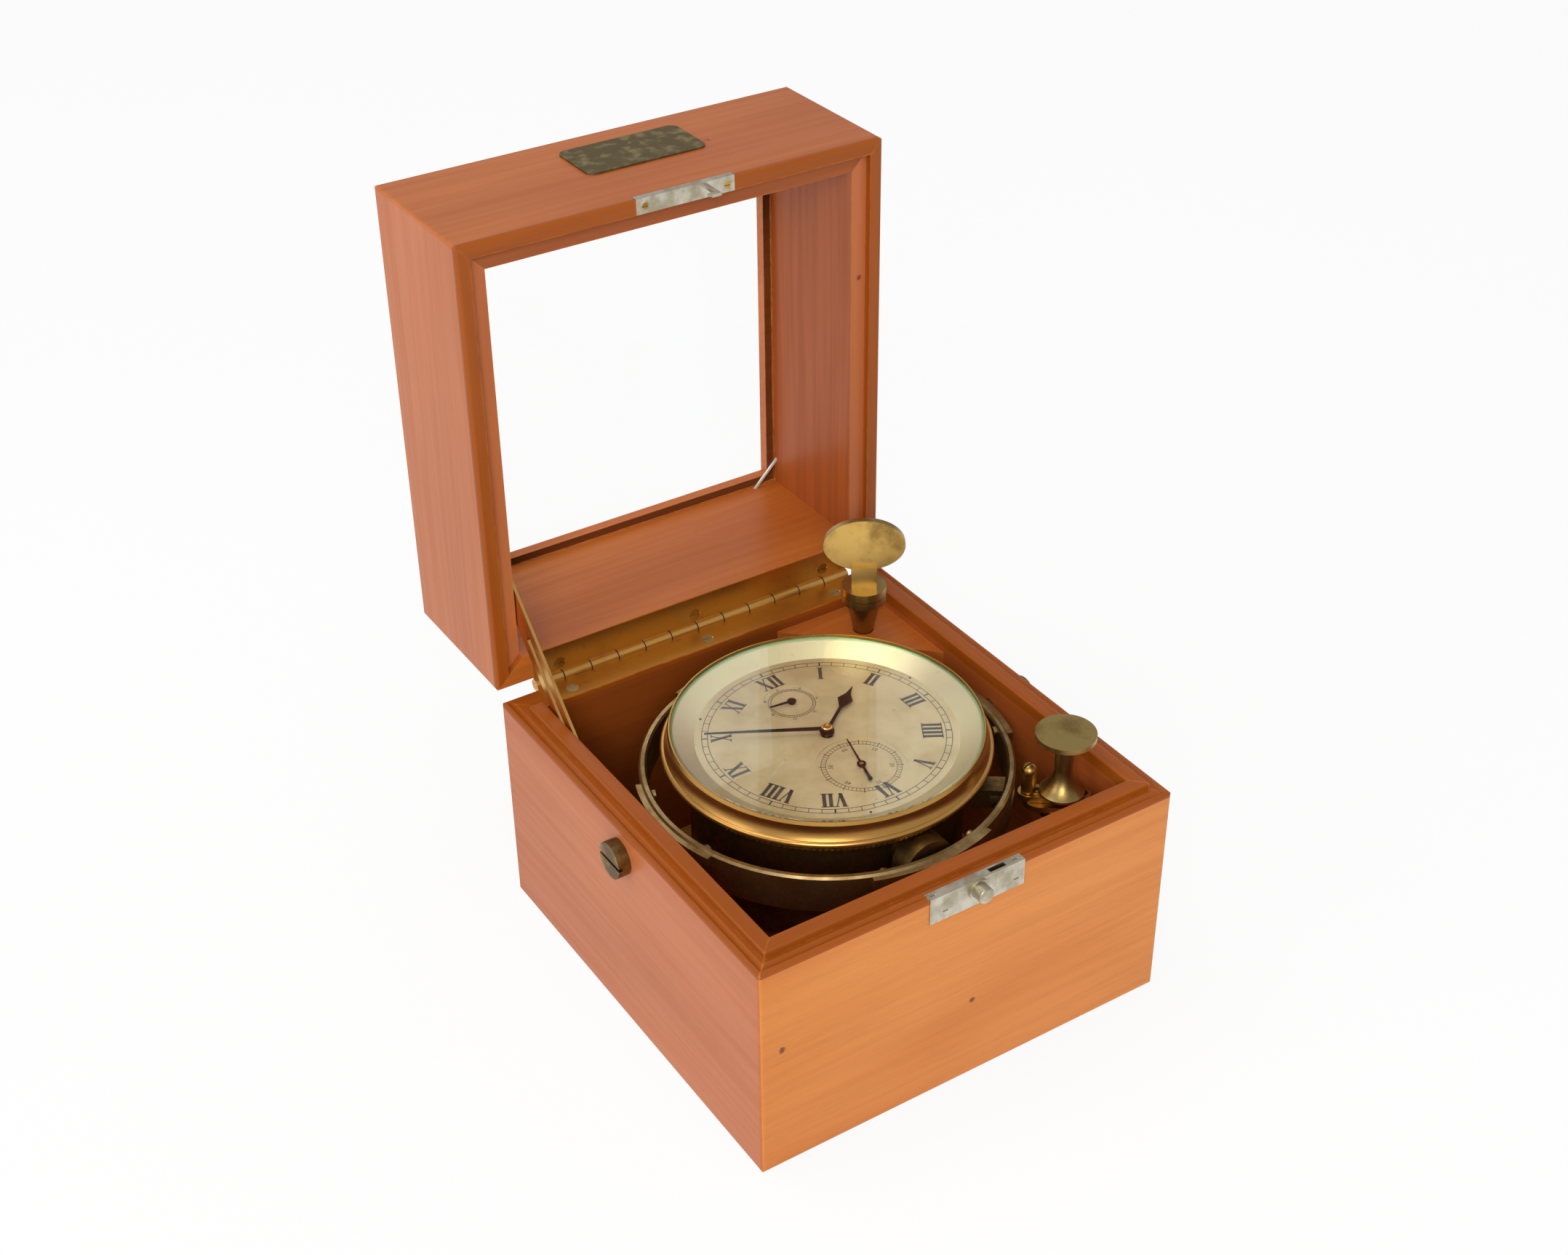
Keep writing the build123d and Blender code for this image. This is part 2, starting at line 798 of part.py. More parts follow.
with BuildPart(lid_frame) as lid_front_wall:
    with BuildSketch(across(lid_frame)):
        case_wall_section(half_depth, -1, lid_depth)
        rabbet_cut(half_depth, -1)
    extrude(amount=half_width, both=True)
    mitre_both_ends(lid_frame, 0, -1)
    round_corners(lid_frame, 0, lid_depth)
    with Locations((strike_left, lock_plate_face, 0)):
        Box(
            strike_right - strike_left,
            lock_plate_proud + strike_width,
            lock_plate_thickness,
            align=(Align.MIN, Align.MIN, Align.MIN),
            mode=Mode.SUBTRACT,
        )
        Box(
            strike_right - strike_left,
            lock_plate_thickness,
            strike_leg,
            align=(Align.MIN, Align.MIN, Align.MIN),
            mode=Mode.SUBTRACT,
        )
    for place in strike_screw_places:
        small_hole(place)
    for place in name_plate_pin_places:
        with Locations(place):
            Cylinder(name_plate_pin_radius, name_plate_pin_length, align=MIDDLE_HIGH, mode=Mode.SUBTRACT)
lid_front_wall.part.label = "lid_front_wall"
export_step(lid_front_wall.part, "parts/lid_front_wall.step")

with BuildPart(lid_frame) as lid_back_wall:
    with BuildSketch(across(lid_frame)):
        case_wall_section(half_depth, 1, lid_depth)
    extrude(amount=half_width, both=True)
    mitre_both_ends(lid_frame, 0, 1)
    round_corners(lid_frame, 0, lid_depth)
    with Locations((0, leaf_front, 0)):
        Box(
            hinge_length,
            wall,
            leaf_thickness,
            align=(Align.CENTER, Align.MIN, Align.MIN),
            mode=Mode.SUBTRACT,
        )
    for place in lid_leaf_screws:
        large_hole(place)
lid_back_wall.part.label = "lid_back_wall"
export_step(lid_back_wall.part, "parts/lid_back_wall.step")

pane_high = lid_depth - top_frame_thickness
pane_low = pane_high - pane_thickness

with BuildPart(lid_frame) as lid_top_frame:
    with BuildSketch(lid_frame.offset(pane_high)):
        Rectangle(2 * inner_x, 2 * inner_y)
        Rectangle(2 * (inner_x - pane_ledge), 2 * (inner_y - pane_ledge), mode=Mode.SUBTRACT)
    extrude(amount=top_frame_thickness)
lid_top_frame.part.label = "lid_top_frame"
export_step(lid_top_frame.part, "parts/lid_top_frame.step")

with BuildPart(lid_frame) as lid_glass:
    with BuildSketch(lid_frame.offset(pane_low)):
        Rectangle(2 * (inner_x - pane_clearance), 2 * (inner_y - pane_clearance))
    extrude(amount=pane_thickness)
lid_glass.part.label = "lid_glass"
export_step(lid_glass.part, "parts/lid_glass.step")

with BuildPart(lid_frame) as glazing_sprigs:
    with BuildSketch(lid_frame.offset(pane_low - sprig_thickness)):
        for side_x in (-1, 1):
            for side_y in (-1, 1):
                near = sprig_leg - sprig_width
                far = sprig_leg
                with BuildLine():
                    Polyline(
                        (side_x * (inner_x - near), side_y * inner_y),
                        (side_x * (inner_x - far), side_y * inner_y),
                        (side_x * inner_x, side_y * (inner_y - far)),
                        (side_x * inner_x, side_y * (inner_y - near)),
                        close=True,
                    )
                make_face()
    extrude(amount=sprig_thickness)
glazing_sprigs.part.label = "glazing_sprigs"
export_step(glazing_sprigs.part, "parts/glazing_sprigs.step")

with BuildPart(lid_frame) as lid_strike_plate:
    with Locations((strike_left, lock_plate_face, 0)):
        Box(
            strike_right - strike_left,
            lock_plate_proud + strike_width,
            lock_plate_thickness,
            align=(Align.MIN, Align.MIN, Align.MIN),
        )
        Box(
            strike_right - strike_left,
            lock_plate_thickness,
            strike_leg,
            align=(Align.MIN, Align.MIN, Align.MIN),
        )
    hook_back = lock_plate_back + (lock_slot_width + hook_thickness) / 2
    with BuildSketch(along(lid_frame).offset(-hook_back)):
        with BuildLine():
            Polyline(
                (hook_shank_left, lock_plate_thickness / 2),
                (hook_shank_left, hook_nose_height - hook_drop),
                (hook_left, hook_nose_height - hook_drop),
                (hook_left + hook_thickness, -hook_drop),
                (hook_right, -hook_drop),
                (hook_right, lock_plate_thickness / 2),
                close=True,
            )
        make_face()
    extrude(amount=hook_thickness)
    for place in strike_screw_places:
        small_hole(place)
lid_strike_plate.part.label = "lid_strike_plate"
export_step(lid_strike_plate.part, "parts/lid_strike_plate.step")

with BuildPart(lid_frame) as name_plate:
    extrude(name_plate_outline(-face_y), amount=name_plate_thickness)
    for place in name_plate_pin_places:
        with Locations(place):
            Cylinder(name_plate_pin_radius, name_plate_pin_length, align=MIDDLE_HIGH, mode=Mode.SUBTRACT)
name_plate.part.label = "name_plate"
export_step(name_plate.part, "parts/name_plate.step")

with BuildPart(lid_frame) as name_plate_pins:
    for place in name_plate_pin_places:
        with Locations(place):
            Cylinder(name_plate_pin_radius, name_plate_pin_length, align=MIDDLE_HIGH)
name_plate_pins.part.label = "name_plate_pins"
export_step(name_plate_pins.part, "parts/name_plate_pins.step")

with BuildPart(lid_frame) as lid_screws:
    for place in lid_leaf_screws:
        large_screw(place)
    for place in strike_screw_places:
        small_screw(place)
lid_screws.part.label = "lid_screws"
export_step(lid_screws.part, "parts/lid_screws.step")

# Stay: the pivot on the lid and the stud on the case lie at the same distance from the hinge,
# so the slot always points at the stud while the lid turns twice as far as the strip.
stay_closed_reach = 2 * stay_rise
stay_open_reach = math.sqrt(2) * (stay_reach + stay_rise)
stay_width = stay_slot_width + 2 * stay_rail_width
stay_right = stay_left + stay_thickness


def stay_pin(place):
    """Shouldered pin from the wood out through the strip, with a round head inside."""
    with Locations((-inner_x - stay_stud_depth, *place)):
        Cylinder(
            stay_stud_radius,
            stay_right + stay_gap + inner_x + stay_stud_depth,
            rotation=(0, 90, 0),
            align=MIDDLE_LOW,
        )
    with Locations((stay_right + stay_gap, *place)):
        Cylinder(stay_head_radius, stay_head_thickness, rotation=(0, 90, 0), align=MIDDLE_LOW)


with BuildPart() as stay_strip:
    stay_plane = Plane((stay_left, *stay_pivot_place), x_dir=(0, -1, -1), z_dir=(1, 0, 0))
    with BuildSketch(stay_plane):
        with Locations((stay_open_reach / 2, 0)):
            SlotCenterToCenter(stay_open_reach, stay_width)
        with Locations(((stay_closed_reach + stay_open_reach) / 2, 0)):
            SlotCenterToCenter(stay_open_reach - stay_closed_reach, stay_slot_width, mode=Mode.SUBTRACT)
        Circle(stay_stud_radius + running_fit, mode=Mode.SUBTRACT)
    extrude(amount=stay_thickness)
stay_strip.part.label = "stay_strip"
export_step(stay_strip.part, "parts/stay_strip.step")

with BuildPart() as stay_stud:
    stay_pin(stay_stud_place)
stay_stud.part.label = "stay_stud"
export_step(stay_stud.part, "parts/stay_stud.step")

with BuildPart() as stay_pivot_screw:
    stay_pin(stay_pivot_place)
stay_pivot_screw.part.label = "stay_pivot_screw"
export_step(stay_pivot_screw.part, "parts/stay_pivot_screw.step")

# Push-button lock

with BuildPart() as lock_plate:
    with BuildSketch(across(base_frame).offset(lock_plate_left)):
        with BuildLine():
            Polyline(
                (lock_plate_face, lock_plate_low),
                (lock_plate_back, lock_plate_low),
                (lock_plate_back, rim_height - lock_plate_thickness),
                (face_y + lock_plate_top_width, rim_height - lock_plate_thickness),
                (face_y + lock_plate_top_width, rim_height),
                (lock_plate_face, rim_height),
                close=True,
            )
        make_face()
    extrude(amount=lock_plate_right - lock_plate_left)
    with Locations((lock_case_left, lock_plate_back, lock_case_low)):
        Box(
            lock_case_right - lock_case_left,
            lock_case_depth,
            rim_height - lock_plate_thickness - lock_case_low,
            align=(Align.MIN, Align.MIN, Align.MIN),
        )
    with Locations((lock_case_left + lock_case_wall, lock_plate_back, lock_case_low + lock_case_wall)):
        Box(
            lock_case_right - lock_case_left - 2 * lock_case_wall,
            lock_case_depth - lock_case_wall,
            rim_height - lock_plate_thickness - lock_case_low - lock_case_wall,
            align=(Align.MIN, Align.MIN, Align.MIN),
            mode=Mode.SUBTRACT,
        )
    with Locations((lock_button_x, lock_plate_face, lock_button_height)):
        Cylinder(lock_collar_radius, lock_collar_proud, rotation=(90, 0, 0), align=MIDDLE_LOW)
        Cylinder(
            lock_button_radius + running_fit,
            2 * (lock_plate_thickness + lock_collar_proud),
            rotation=(90, 0, 0),
            mode=Mode.SUBTRACT,
        )
    with Locations((lock_slot_left, lock_plate_back, rim_height)):
        Box(
            lock_slot_right - lock_slot_left,
            lock_slot_width,
            2 * (lock_plate_thickness + lock_case_wall),
            align=(Align.MIN, Align.MIN, Align.CENTER),
            mode=Mode.SUBTRACT,
        )
    for place in front_screw_places + top_screw_places:
        small_hole(place)
lock_plate.part.label = "lock_plate"
export_step(lock_plate.part, "parts/lock_plate.step")

with BuildPart() as lock_button:
    with Locations((lock_button_x, lock_plate_back, lock_button_height)):
        Cylinder(
            lock_button_radius,
            lock_plate_thickness + lock_button_proud,
            rotation=(90, 0, 0),
            align=MIDDLE_LOW,
        )
    fillet(lock_button.edges().sort_by(Axis.Y)[0], radius=0.6)
    with Locations((lock_button_x, button_stem_end, lock_button_height)):
        Cylinder(
            button_stem_radius,
            button_stem_end - lock_plate_back,
            rotation=(90, 0, 0),
            align=MIDDLE_LOW,
        )
    chamfer(lock_button.edges().sort_by(Axis.Y)[-1], length=0.6)
lock_button.part.label = "lock_button"
export_step(lock_button.part, "parts/lock_button.step")

with BuildPart() as latch_bolt:
    with Locations((bolt_tail, bolt_back, bolt_low)):
        Box(
            bolt_nose - bolt_tail,
            bolt_thickness,
            bolt_high - bolt_low,
            align=(Align.MIN, Align.MAX, Align.MIN),
        )
    with Locations((bolt_nose_left, bolt_back, bolt_nose_low)):
        Box(
            bolt_nose - bolt_nose_left,
            bolt_back - bolt_nose_front,
            bolt_nose_high - bolt_nose_low,
            align=(Align.MIN, Align.MAX, Align.MIN),
        )
    with BuildSketch(Plane.XZ.offset(-bolt_back)):
        with Locations((lock_button_x + bolt_travel / 2, lock_button_height)):
            SlotCenterToCenter(bolt_travel, 2 * (button_stem_radius + stay_gap))
    extrude(amount=bolt_thickness, mode=Mode.SUBTRACT)
latch_bolt.part.label = "latch_bolt"
export_step(latch_bolt.part, "parts/latch_bolt.step")

# Gimbal

ring_low = gimbal_height - ring_height / 2
arm_low = arm_top - arm_thickness
arm_middle = arm_top - arm_thickness / 2
arm_plane = Plane((knob_x, knob_y, 0), x_dir=(*polar(1, arm_direction), 0), z_dir=(0, 0, 1))
pad_middle = (pad_low + pad_high) / 2
pad_screw_planes = [
    polar_plane(quarter + side * pad_screw_angle, ring_inner_radius, pad_middle)
    for quarter in (0, 90, 180, 270)
    for side in (-1, 1)
]


def slotted_head_cut(radius, width, depth):
    """Driver slot across a head whose face is at the place."""
    Box(2 * radius, width, 2 * depth, mode=Mode.SUBTRACT)


with BuildPart() as gimbal_pivot_screws:
    for side in (-1, 1):
        outwards = 90 - side * 90
        with Locations(polar_plane(outwards, half_width, gimbal_height)):
            Cylinder(pivot_head_radius, pivot_head_thickness, align=MIDDLE_LOW)
            Cylinder(pivot_shank_radius, wall + pivot_shank_proud, align=MIDDLE_HIGH)
            Cylinder(ring_pivot_radius, half_width - ring_inner_radius, align=MIDDLE_HIGH)
        with Locations(polar_plane(outwards, half_width + pivot_head_thickness, gimbal_height)):
            slotted_head_cut(pivot_head_radius, pivot_slot_width, pivot_slot_depth)
gimbal_pivot_screws.part.label = "gimbal_pivot_screws"
export_step(gimbal_pivot_screws.part, "parts/gimbal_pivot_screws.step")

with BuildPart() as gimbal_ring:
    with BuildSketch(Plane.XY.offset(ring_low)):
        Circle(ring_outer_radius)
        Circle(ring_inner_radius, mode=Mode.SUBTRACT)
    extrude(amount=ring_height)
    chamfer(gimbal_ring.edges().group_by(Axis.Z)[-1], length=ring_edge_round)
    with Locations((0, 0, gimbal_height)):
        Cylinder(
            ring_pivot_radius + running_fit,
            2 * ring_outer_radius,
            rotation=(0, 90, 0),
            mode=Mode.SUBTRACT,
        )
        Cylinder(
            bowl_pivot_shank_radius,
            2 * ring_outer_radius,
            rotation=(90, 0, 0),
            mode=Mode.SUBTRACT,
        )
    for plane in pad_screw_planes:
        with Locations(plane):
            Cylinder(pad_screw_radius, 2 * ring_thickness, mode=Mode.SUBTRACT)
    with BuildSketch(arm_plane.offset(arm_low - window_height_clearance)):
        with Locations((arm_tip + arm_travel / 2, 0)):
            Rectangle(2 * arm_travel, arm_width + 2 * window_clearance)
    extrude(amount=arm_thickness + 2 * window_height_clearance, mode=Mode.SUBTRACT)
gimbal_ring.part.label = "gimbal_ring"
export_step(gimbal_ring.part, "parts/gimbal_ring.step")

with BuildPart() as gimbal_ring_pads:
    with BuildSketch(Plane.XY.offset(pad_low)):
        for quarter in (0, 90, 180, 270):
            with BuildLine():
                start = quarter - pad_angle
                outer = CenterArc((0, 0), ring_outer_radius + pad_thickness, start, 2 * pad_angle)
                inner = CenterArc((0, 0), ring_outer_radius, start, 2 * pad_angle)
                Line(outer @ 0, inner @ 0)
                Line(outer @ 1, inner @ 1)
            make_face()
    extrude(amount=pad_high - pad_low)
    for plane in pad_screw_planes:
        with Locations(plane):
            Cylinder(pad_screw_radius, 4 * ring_thickness, mode=Mode.SUBTRACT)
gimbal_ring_pads.part.label = "gimbal_ring_pads"
export_step(gimbal_ring_pads.part, "parts/gimbal_ring_pads.step")

with BuildPart() as gimbal_ring_screws:
    for plane in pad_screw_planes:
        with Locations(plane):
            Cylinder(pad_screw_radius, ring_thickness + pad_thickness, align=MIDDLE_LOW)
            Cylinder(pad_screw_radius, pad_screw_head_height, align=MIDDLE_HIGH)
        with Locations(plane.offset(-running_fit)):
            Cylinder(pad_screw_head_radius, pad_screw_head_height, align=MIDDLE_HIGH)
    for azimuth in (-90, 90):
        with Locations(polar_plane(azimuth, ring_outer_radius, gimbal_height)):
            Cylinder(bowl_pivot_head_radius, bowl_pivot_head_height, align=MIDDLE_LOW)
            Cylinder(bowl_pivot_shank_radius, ring_thickness, align=MIDDLE_HIGH)
            Cylinder(
                bowl_pivot_radius,
                ring_outer_radius - boss_face + bowl_pivot_engagement,
                align=MIDDLE_HIGH,
            )
        with Locations(polar_plane(azimuth, ring_outer_radius + bowl_pivot_head_height, gimbal_height)):
            slotted_head_cut(bowl_pivot_head_radius, screw_slot_width, screw_slot_depth)
gimbal_ring_screws.part.label = "gimbal_ring_screws"
export_step(gimbal_ring_screws.part, "parts/gimbal_ring_screws.step")

# Bowl

cavity_radius = bowl_inner_radius - seat_width
collar_radius = bezel_bore_radius - bowl_wall
collar_top = flange_top + flange_thickness
corner_centre = bowl_radius - bowl_corner_radius
cavity_corner = cavity_radius - corner_centre
fusee_place = polar(fusee_distance, fusee_azimuth)
cover_pivot = offset_point(fusee_place, cover_reach, cover_azimuth + 180)

with BuildPart() as bowl:
    with BuildSketch(Plane.XZ):
        with BuildLine():
            Line((0, flange_top), (0, bowl_bottom))
            Line((0, bowl_bottom), (corner_centre, bowl_bottom))
            CenterArc((corner_centre, bowl_bottom + bowl_corner_radius), bowl_corner_radius, 270, 90)
            Line((bowl_radius, bowl_bottom + bowl_corner_radius), (bowl_radius, flange_low))
            Line((bowl_radius, flange_low), (flange_radius, flange_low))
            Line((flange_radius, flange_low), (flange_radius, flange_top))
            Line((flange_radius, flange_top), (bezel_bore_radius, flange_top))
            Line((bezel_bore_radius, flange_top), (bezel_bore_radius, collar_top))
            Line((bezel_bore_radius, collar_top), (collar_radius, collar_top))
            Line((collar_radius, collar_top), (collar_radius, flange_top))
            Line((collar_radius, flange_top), (0, flange_top))
        make_face()
    revolve(axis=Axis.Z)
    for azimuth in (-90, 90):
        with Locations(polar_plane(azimuth, boss_face, gimbal_height)):
            Cylinder(boss_radius, boss_thickness, align=MIDDLE_HIGH)
            Cylinder(boss_neck_radius, boss_face - bowl_inner_radius, align=MIDDLE_HIGH)
    lug_outer = arm_tip + arm_travel / 2
    lug_inner = math.sqrt(knob_x**2 + knob_y**2) - bowl_inner_radius
    with BuildSketch(arm_plane.offset(lug_low)):
        with Locations(((lug_outer + lug_inner) / 2, 0)):
            Rectangle(lug_inner - lug_outer, lug_width)
    extrude(amount=lug_high - lug_low)
    with Locations((0, 0, gimbal_height)):
        Cylinder(lug_radius, 2 * lug_radius, mode=Mode.INTERSECT)
    # The arm's tip reaches into this slot when the gimbal is locked.
    with BuildSketch(arm_plane.offset(arm_low - arm_slot_clearance)):
        with Locations((lug_outer, 0)):
            Rectangle(2 * lug_slot_depth, 2 * lug_width)
    extrude(amount=arm_thickness + 2 * arm_slot_clearance, mode=Mode.SUBTRACT)
    with BuildSketch(Plane.XZ):
        with BuildLine():
            Line((0, flange_top), (0, bowl_bottom + bowl_floor))
            Line((0, bowl_bottom + bowl_floor), (corner_centre, bowl_bottom + bowl_floor))
            CenterArc((corner_centre, bowl_bottom + bowl_floor + cavity_corner), cavity_corner, 270, 90)
            Line((cavity_radius, bowl_bottom + bowl_floor + cavity_corner), (cavity_radius, seat_height))
            Line((cavity_radius, seat_height), (bowl_inner_radius, seat_height))
            Line((bowl_inner_radius, seat_height), (bowl_inner_radius, flange_top))
            Line((bowl_inner_radius, flange_top), (0, flange_top))
        make_face()
    revolve(axis=Axis.Z, mode=Mode.SUBTRACT)
    for azimuth in (-90, 90):
        with Locations(polar_plane(azimuth, boss_face, gimbal_height)):
            Cylinder(
                bowl_pivot_radius + running_fit,
                bowl_pivot_engagement + key_collar_gap,
                align=MIDDLE_HIGH,
                mode=Mode.SUBTRACT,
            )
    with Locations((*fusee_place, bowl_bottom)):
        Cylinder(winding_hole_radius, 2 * bowl_corner_radius, mode=Mode.SUBTRACT)
    with Locations((*cover_pivot, bowl_bottom)):
        Cylinder(cover_pin_radius + running_fit, 2 * bowl_corner_radius, mode=Mode.SUBTRACT)
bowl.part.label = "bowl"
export_step(bowl.part, "parts/bowl.step")

bead_centre = bead_radius - bead_section
bezel_shoulder = bezel_rim_radius + 0.4 * bead_section

with BuildPart() as bezel:
    with BuildSketch(Plane.XZ):
        with BuildLine():
            Line((bezel_bore_radius, bezel_top), (bezel_bore_radius, flange_top))
            Line((bezel_bore_radius, flange_top), (bead_centre, flange_top))
            ThreePointArc(
                (bead_centre, flange_top),
                (bead_radius, bead_height),
                (bead_centre, bead_height + bead_section),
            )
            ThreePointArc(
                (bead_centre, bead_height + bead_section),
                (bead_centre - 0.9 * bead_section, bead_height + 3 * bead_section),
                (bezel_shoulder, bezel_top - bead_section),
            )
            Line((bezel_shoulder, bezel_top - bead_section), (bezel_rim_radius, bezel_top))
            Line((bezel_rim_radius, bezel_top), (bezel_bore_radius, bezel_top))
        make_face()
    revolve(axis=Axis.Z)
bezel.part.label = "bezel"
export_step(bezel.part, "parts/bezel.step")

crystal_shoulder = crystal_low + crystal_edge
crystal_flat = crystal_shoulder + crystal_bevel / 2
crystal_flat_radius = bezel_bore_radius - crystal_bevel

with BuildPart() as crystal:
    with BuildSketch(Plane.XZ):
        with BuildLine():
            Line((0, crystal_flat + crystal_rise), (0, crystal_low))
            Line((0, crystal_low), (bezel_bore_radius, crystal_low))
            Line((bezel_bore_radius, crystal_low), (bezel_bore_radius, crystal_shoulder))
            Line((bezel_bore_radius, crystal_shoulder), (crystal_flat_radius, crystal_flat))
            TangentArc(
                (0, crystal_flat + crystal_rise),
                (crystal_flat_radius, crystal_flat),
                tangent=(1, 0),
            )
        make_face()
    revolve(axis=Axis.Z)
crystal.part.label = "crystal"
export_step(crystal.part, "parts/crystal.step")

with BuildPart() as reflector_ring:
    with BuildSketch(Plane.XZ):
        with BuildLine():
            Polyline(
                (dial_opening_radius, dial_top),
                (dial_radius, dial_top),
                (bezel_bore_radius, crystal_low - reflector_thickness),
                (bezel_bore_radius, crystal_low),
                close=True,
            )
        make_face()
    revolve(axis=Axis.Z)
reflector_ring.part.label = "reflector_ring"
export_step(reflector_ring.part, "parts/reflector_ring.step")

# Places of the train's arbors
third_distance = centre_module * (centre_teeth + third_pinion_leaves) / 2
third_fourth_distance = third_module * (third_teeth + fourth_pinion_leaves) / 2
escape_distance = fourth_module * (fourth_teeth + escape_pinion_leaves) / 2
third_cosine = (third_distance**2 + fourth_distance**2 - third_fourth_distance**2) / (
    2 * third_distance * fourth_distance
)
fourth = (0.0, -fourth_distance)
third = polar(third_distance, -90 + math.degrees(math.acos(third_cosine)))
escape = offset_point(fourth, escape_distance, escape_azimuth)
barrel_place = polar(barrel_distance, barrel_azimuth)
balance_place = offset_point(escape, balance_escape_distance, balance_azimuth_from_escape)
great_module = 2 * fusee_distance / (great_teeth + centre_pinion_leaves)
power_place = (0.0, power_subdial_distance)
top_plate_top = top_plate_low + top_plate_thickness
pillar_plate_top = pillar_plate_low + pillar_plate_thickness
cock_foot = offset_point(balance_place, cock_reach, cock_azimuth)

with BuildPart() as dial:
    with BuildSketch(Plane.XY.offset(dial_top - dial_thickness)):
        Circle(dial_radius)
        Circle(hour_pipe_outer + knuckle_clearance, mode=Mode.SUBTRACT)
        with Locations(fourth, power_place):
            Circle(arbor_radius + knuckle_clearance, mode=Mode.SUBTRACT)
    extrude(amount=dial_thickness)
    with BuildSketch(Plane.XY.offset(dial_top)):
        with Locations(fourth):
            Circle(seconds_subdial_radius)
        with Locations(power_place):
            Circle(power_subdial_radius)
    extrude(amount=-subdial_sink, mode=Mode.SUBTRACT)
    with BuildSketch(Plane.XY.offset(dial_top - dial_thickness)):
        with PolarLocations(dial_foot_circle, 3):
            Circle(dial_foot_radius)
    extrude(amount=pillar_plate_top - dial_top + dial_thickness)
dial.part.label = "dial"
export_step(dial.part, "parts/dial.step")

with BuildPart() as dust_cover:
    cover_top = bowl_bottom - cover_gap
    with BuildSketch(Plane.XY.offset(cover_top)):
        with Locations(fusee_place):
            Circle(cover_lobe_radius)
        with Locations(cover_pivot):
            Circle(2 * cover_pin_radius)
        make_hull()
    extrude(amount=-cover_thickness)
    with Locations((*cover_pivot, cover_top)):
        Cylinder(cover_pin_radius, bowl_floor + 2 * cover_gap, align=MIDDLE_LOW)
    with Locations((*cover_pivot, bowl_bottom + bowl_floor + cover_gap)):
        Cylinder(2 * cover_pin_radius, cover_thickness, align=MIDDLE_LOW)
dust_cover.part.label = "dust_cover"
export_step(dust_cover.part, "parts/dust_cover.step")

# Movement


def gear_outline(centre, teeth, module, phase):
    """Outline of a clock gear with thin straight-flanked teeth; one tooth points along the phase."""
    root = module * (teeth / 2 - 0.9)
    tip = module * (teeth / 2 + 0.6)
    pitch = 360 / teeth
    corners = []
    for tooth in range(teeth):
        middle = phase + tooth * pitch
        corners.append(offset_point(centre, root, middle - 0.2 * pitch))
        corners.append(offset_point(centre, tip, middle - 0.08 * pitch))
        corners.append(offset_point(centre, tip, middle + 0.08 * pitch))
        corners.append(offset_point(centre, root, middle + 0.2 * pitch))
    return corners


def toothed_disc(corners, centre, bore, low, thickness):
    """Disc with the given toothed outline."""
    with BuildSketch(Plane.XY.offset(low)) as outline:
        with BuildLine():
            Polyline(*corners, close=True)
        make_face()
        with Locations(centre):
            Circle(bore, mode=Mode.SUBTRACT)
    extrude(outline.sketch, amount=thickness)


def crossed_out(centre, teeth, module, low):
    """Cuts a wheel out between its hub and its rim, leaving four arms."""
    rim = module * (teeth / 2 - 0.9) - wheel_rim_width
    with BuildSketch(Plane.XY.offset(low)) as windows:
        with Locations(centre):
            Circle(rim)
            Circle(wheel_hub_radius, mode=Mode.SUBTRACT)
            Rectangle(2 * rim, wheel_arm_width, mode=Mode.SUBTRACT)
            Rectangle(wheel_arm_width, 2 * rim, mode=Mode.SUBTRACT)
    extrude(windows.sketch, amount=wheel_thickness, mode=Mode.SUBTRACT)


def shaft(centre, radius, low, high):
    """Round stretch of an arbor."""
    with Locations((*centre, low)):
        Cylinder(radius, high - low, align=MIDDLE_LOW)


def pivoted_arbor(centre):
    """Arbor between the plates with a thin pivot in each of them."""
    shaft(centre, arbor_radius, top_plate_top + cover_gap, pillar_plate_low - cover_gap)
    shaft(centre, pivot_radius, top_plate_low + pivot_inset, pillar_plate_top - pivot_inset)


def driven_phase(azimuth, leaves):
    """Phase that puts a gap of the driven gear opposite a tooth of its driver."""
    return azimuth + 180 + 180 / leaves


centre = (0.0, 0.0)
centre_to_third = azimuth_between(centre, third)
third_to_fourth = azimuth_between(third, fourth)
fusee_to_centre = fusee_azimuth + 180

with BuildPart() as pillar_plate:
    with BuildSketch(Plane.XY.offset(pillar_plate_low)):
        Circle(pillar_plate_radius)
        Circle(centre_arbor_radius + running_fit, mode=Mode.SUBTRACT)
        with Locations(third, escape):
            Circle(pivot_radius + running_fit, mode=Mode.SUBTRACT)
        with Locations(fourth):
            Circle(arbor_radius - running_fit, mode=Mode.SUBTRACT)
        with Locations(power_place):
            Circle(arbor_radius - running_fit, mode=Mode.SUBTRACT)
        with Locations(fusee_place, barrel_place):
            Circle(fusee_arbor_radius + running_fit, mode=Mode.SUBTRACT)
    extrude(amount=pillar_plate_thickness)
    for azimuth in pillar_azimuths:
        shaft(polar(pillar_circle, azimuth), pillar_radius, top_plate_top, pillar_plate_low)
pillar_plate.part.label = "pillar_plate"
export_step(pillar_plate.part, "parts/pillar_plate.step")

detent_root = offset_point(balance_place, detent_root_distance, detent_root_azimuth)
detent_tip = offset_point(balance_place, roller_radius + hand_thickness, detent_tip_azimuth)
detent_azimuth = azimuth_between(detent_root, detent_tip)
detent_plane = Plane((*detent_root, 0), x_dir=(*polar(1, detent_azimuth), 0), z_dir=(0, 0, 1))
detent_length = math.dist(detent_root, detent_tip)
detent_foot = 4.0

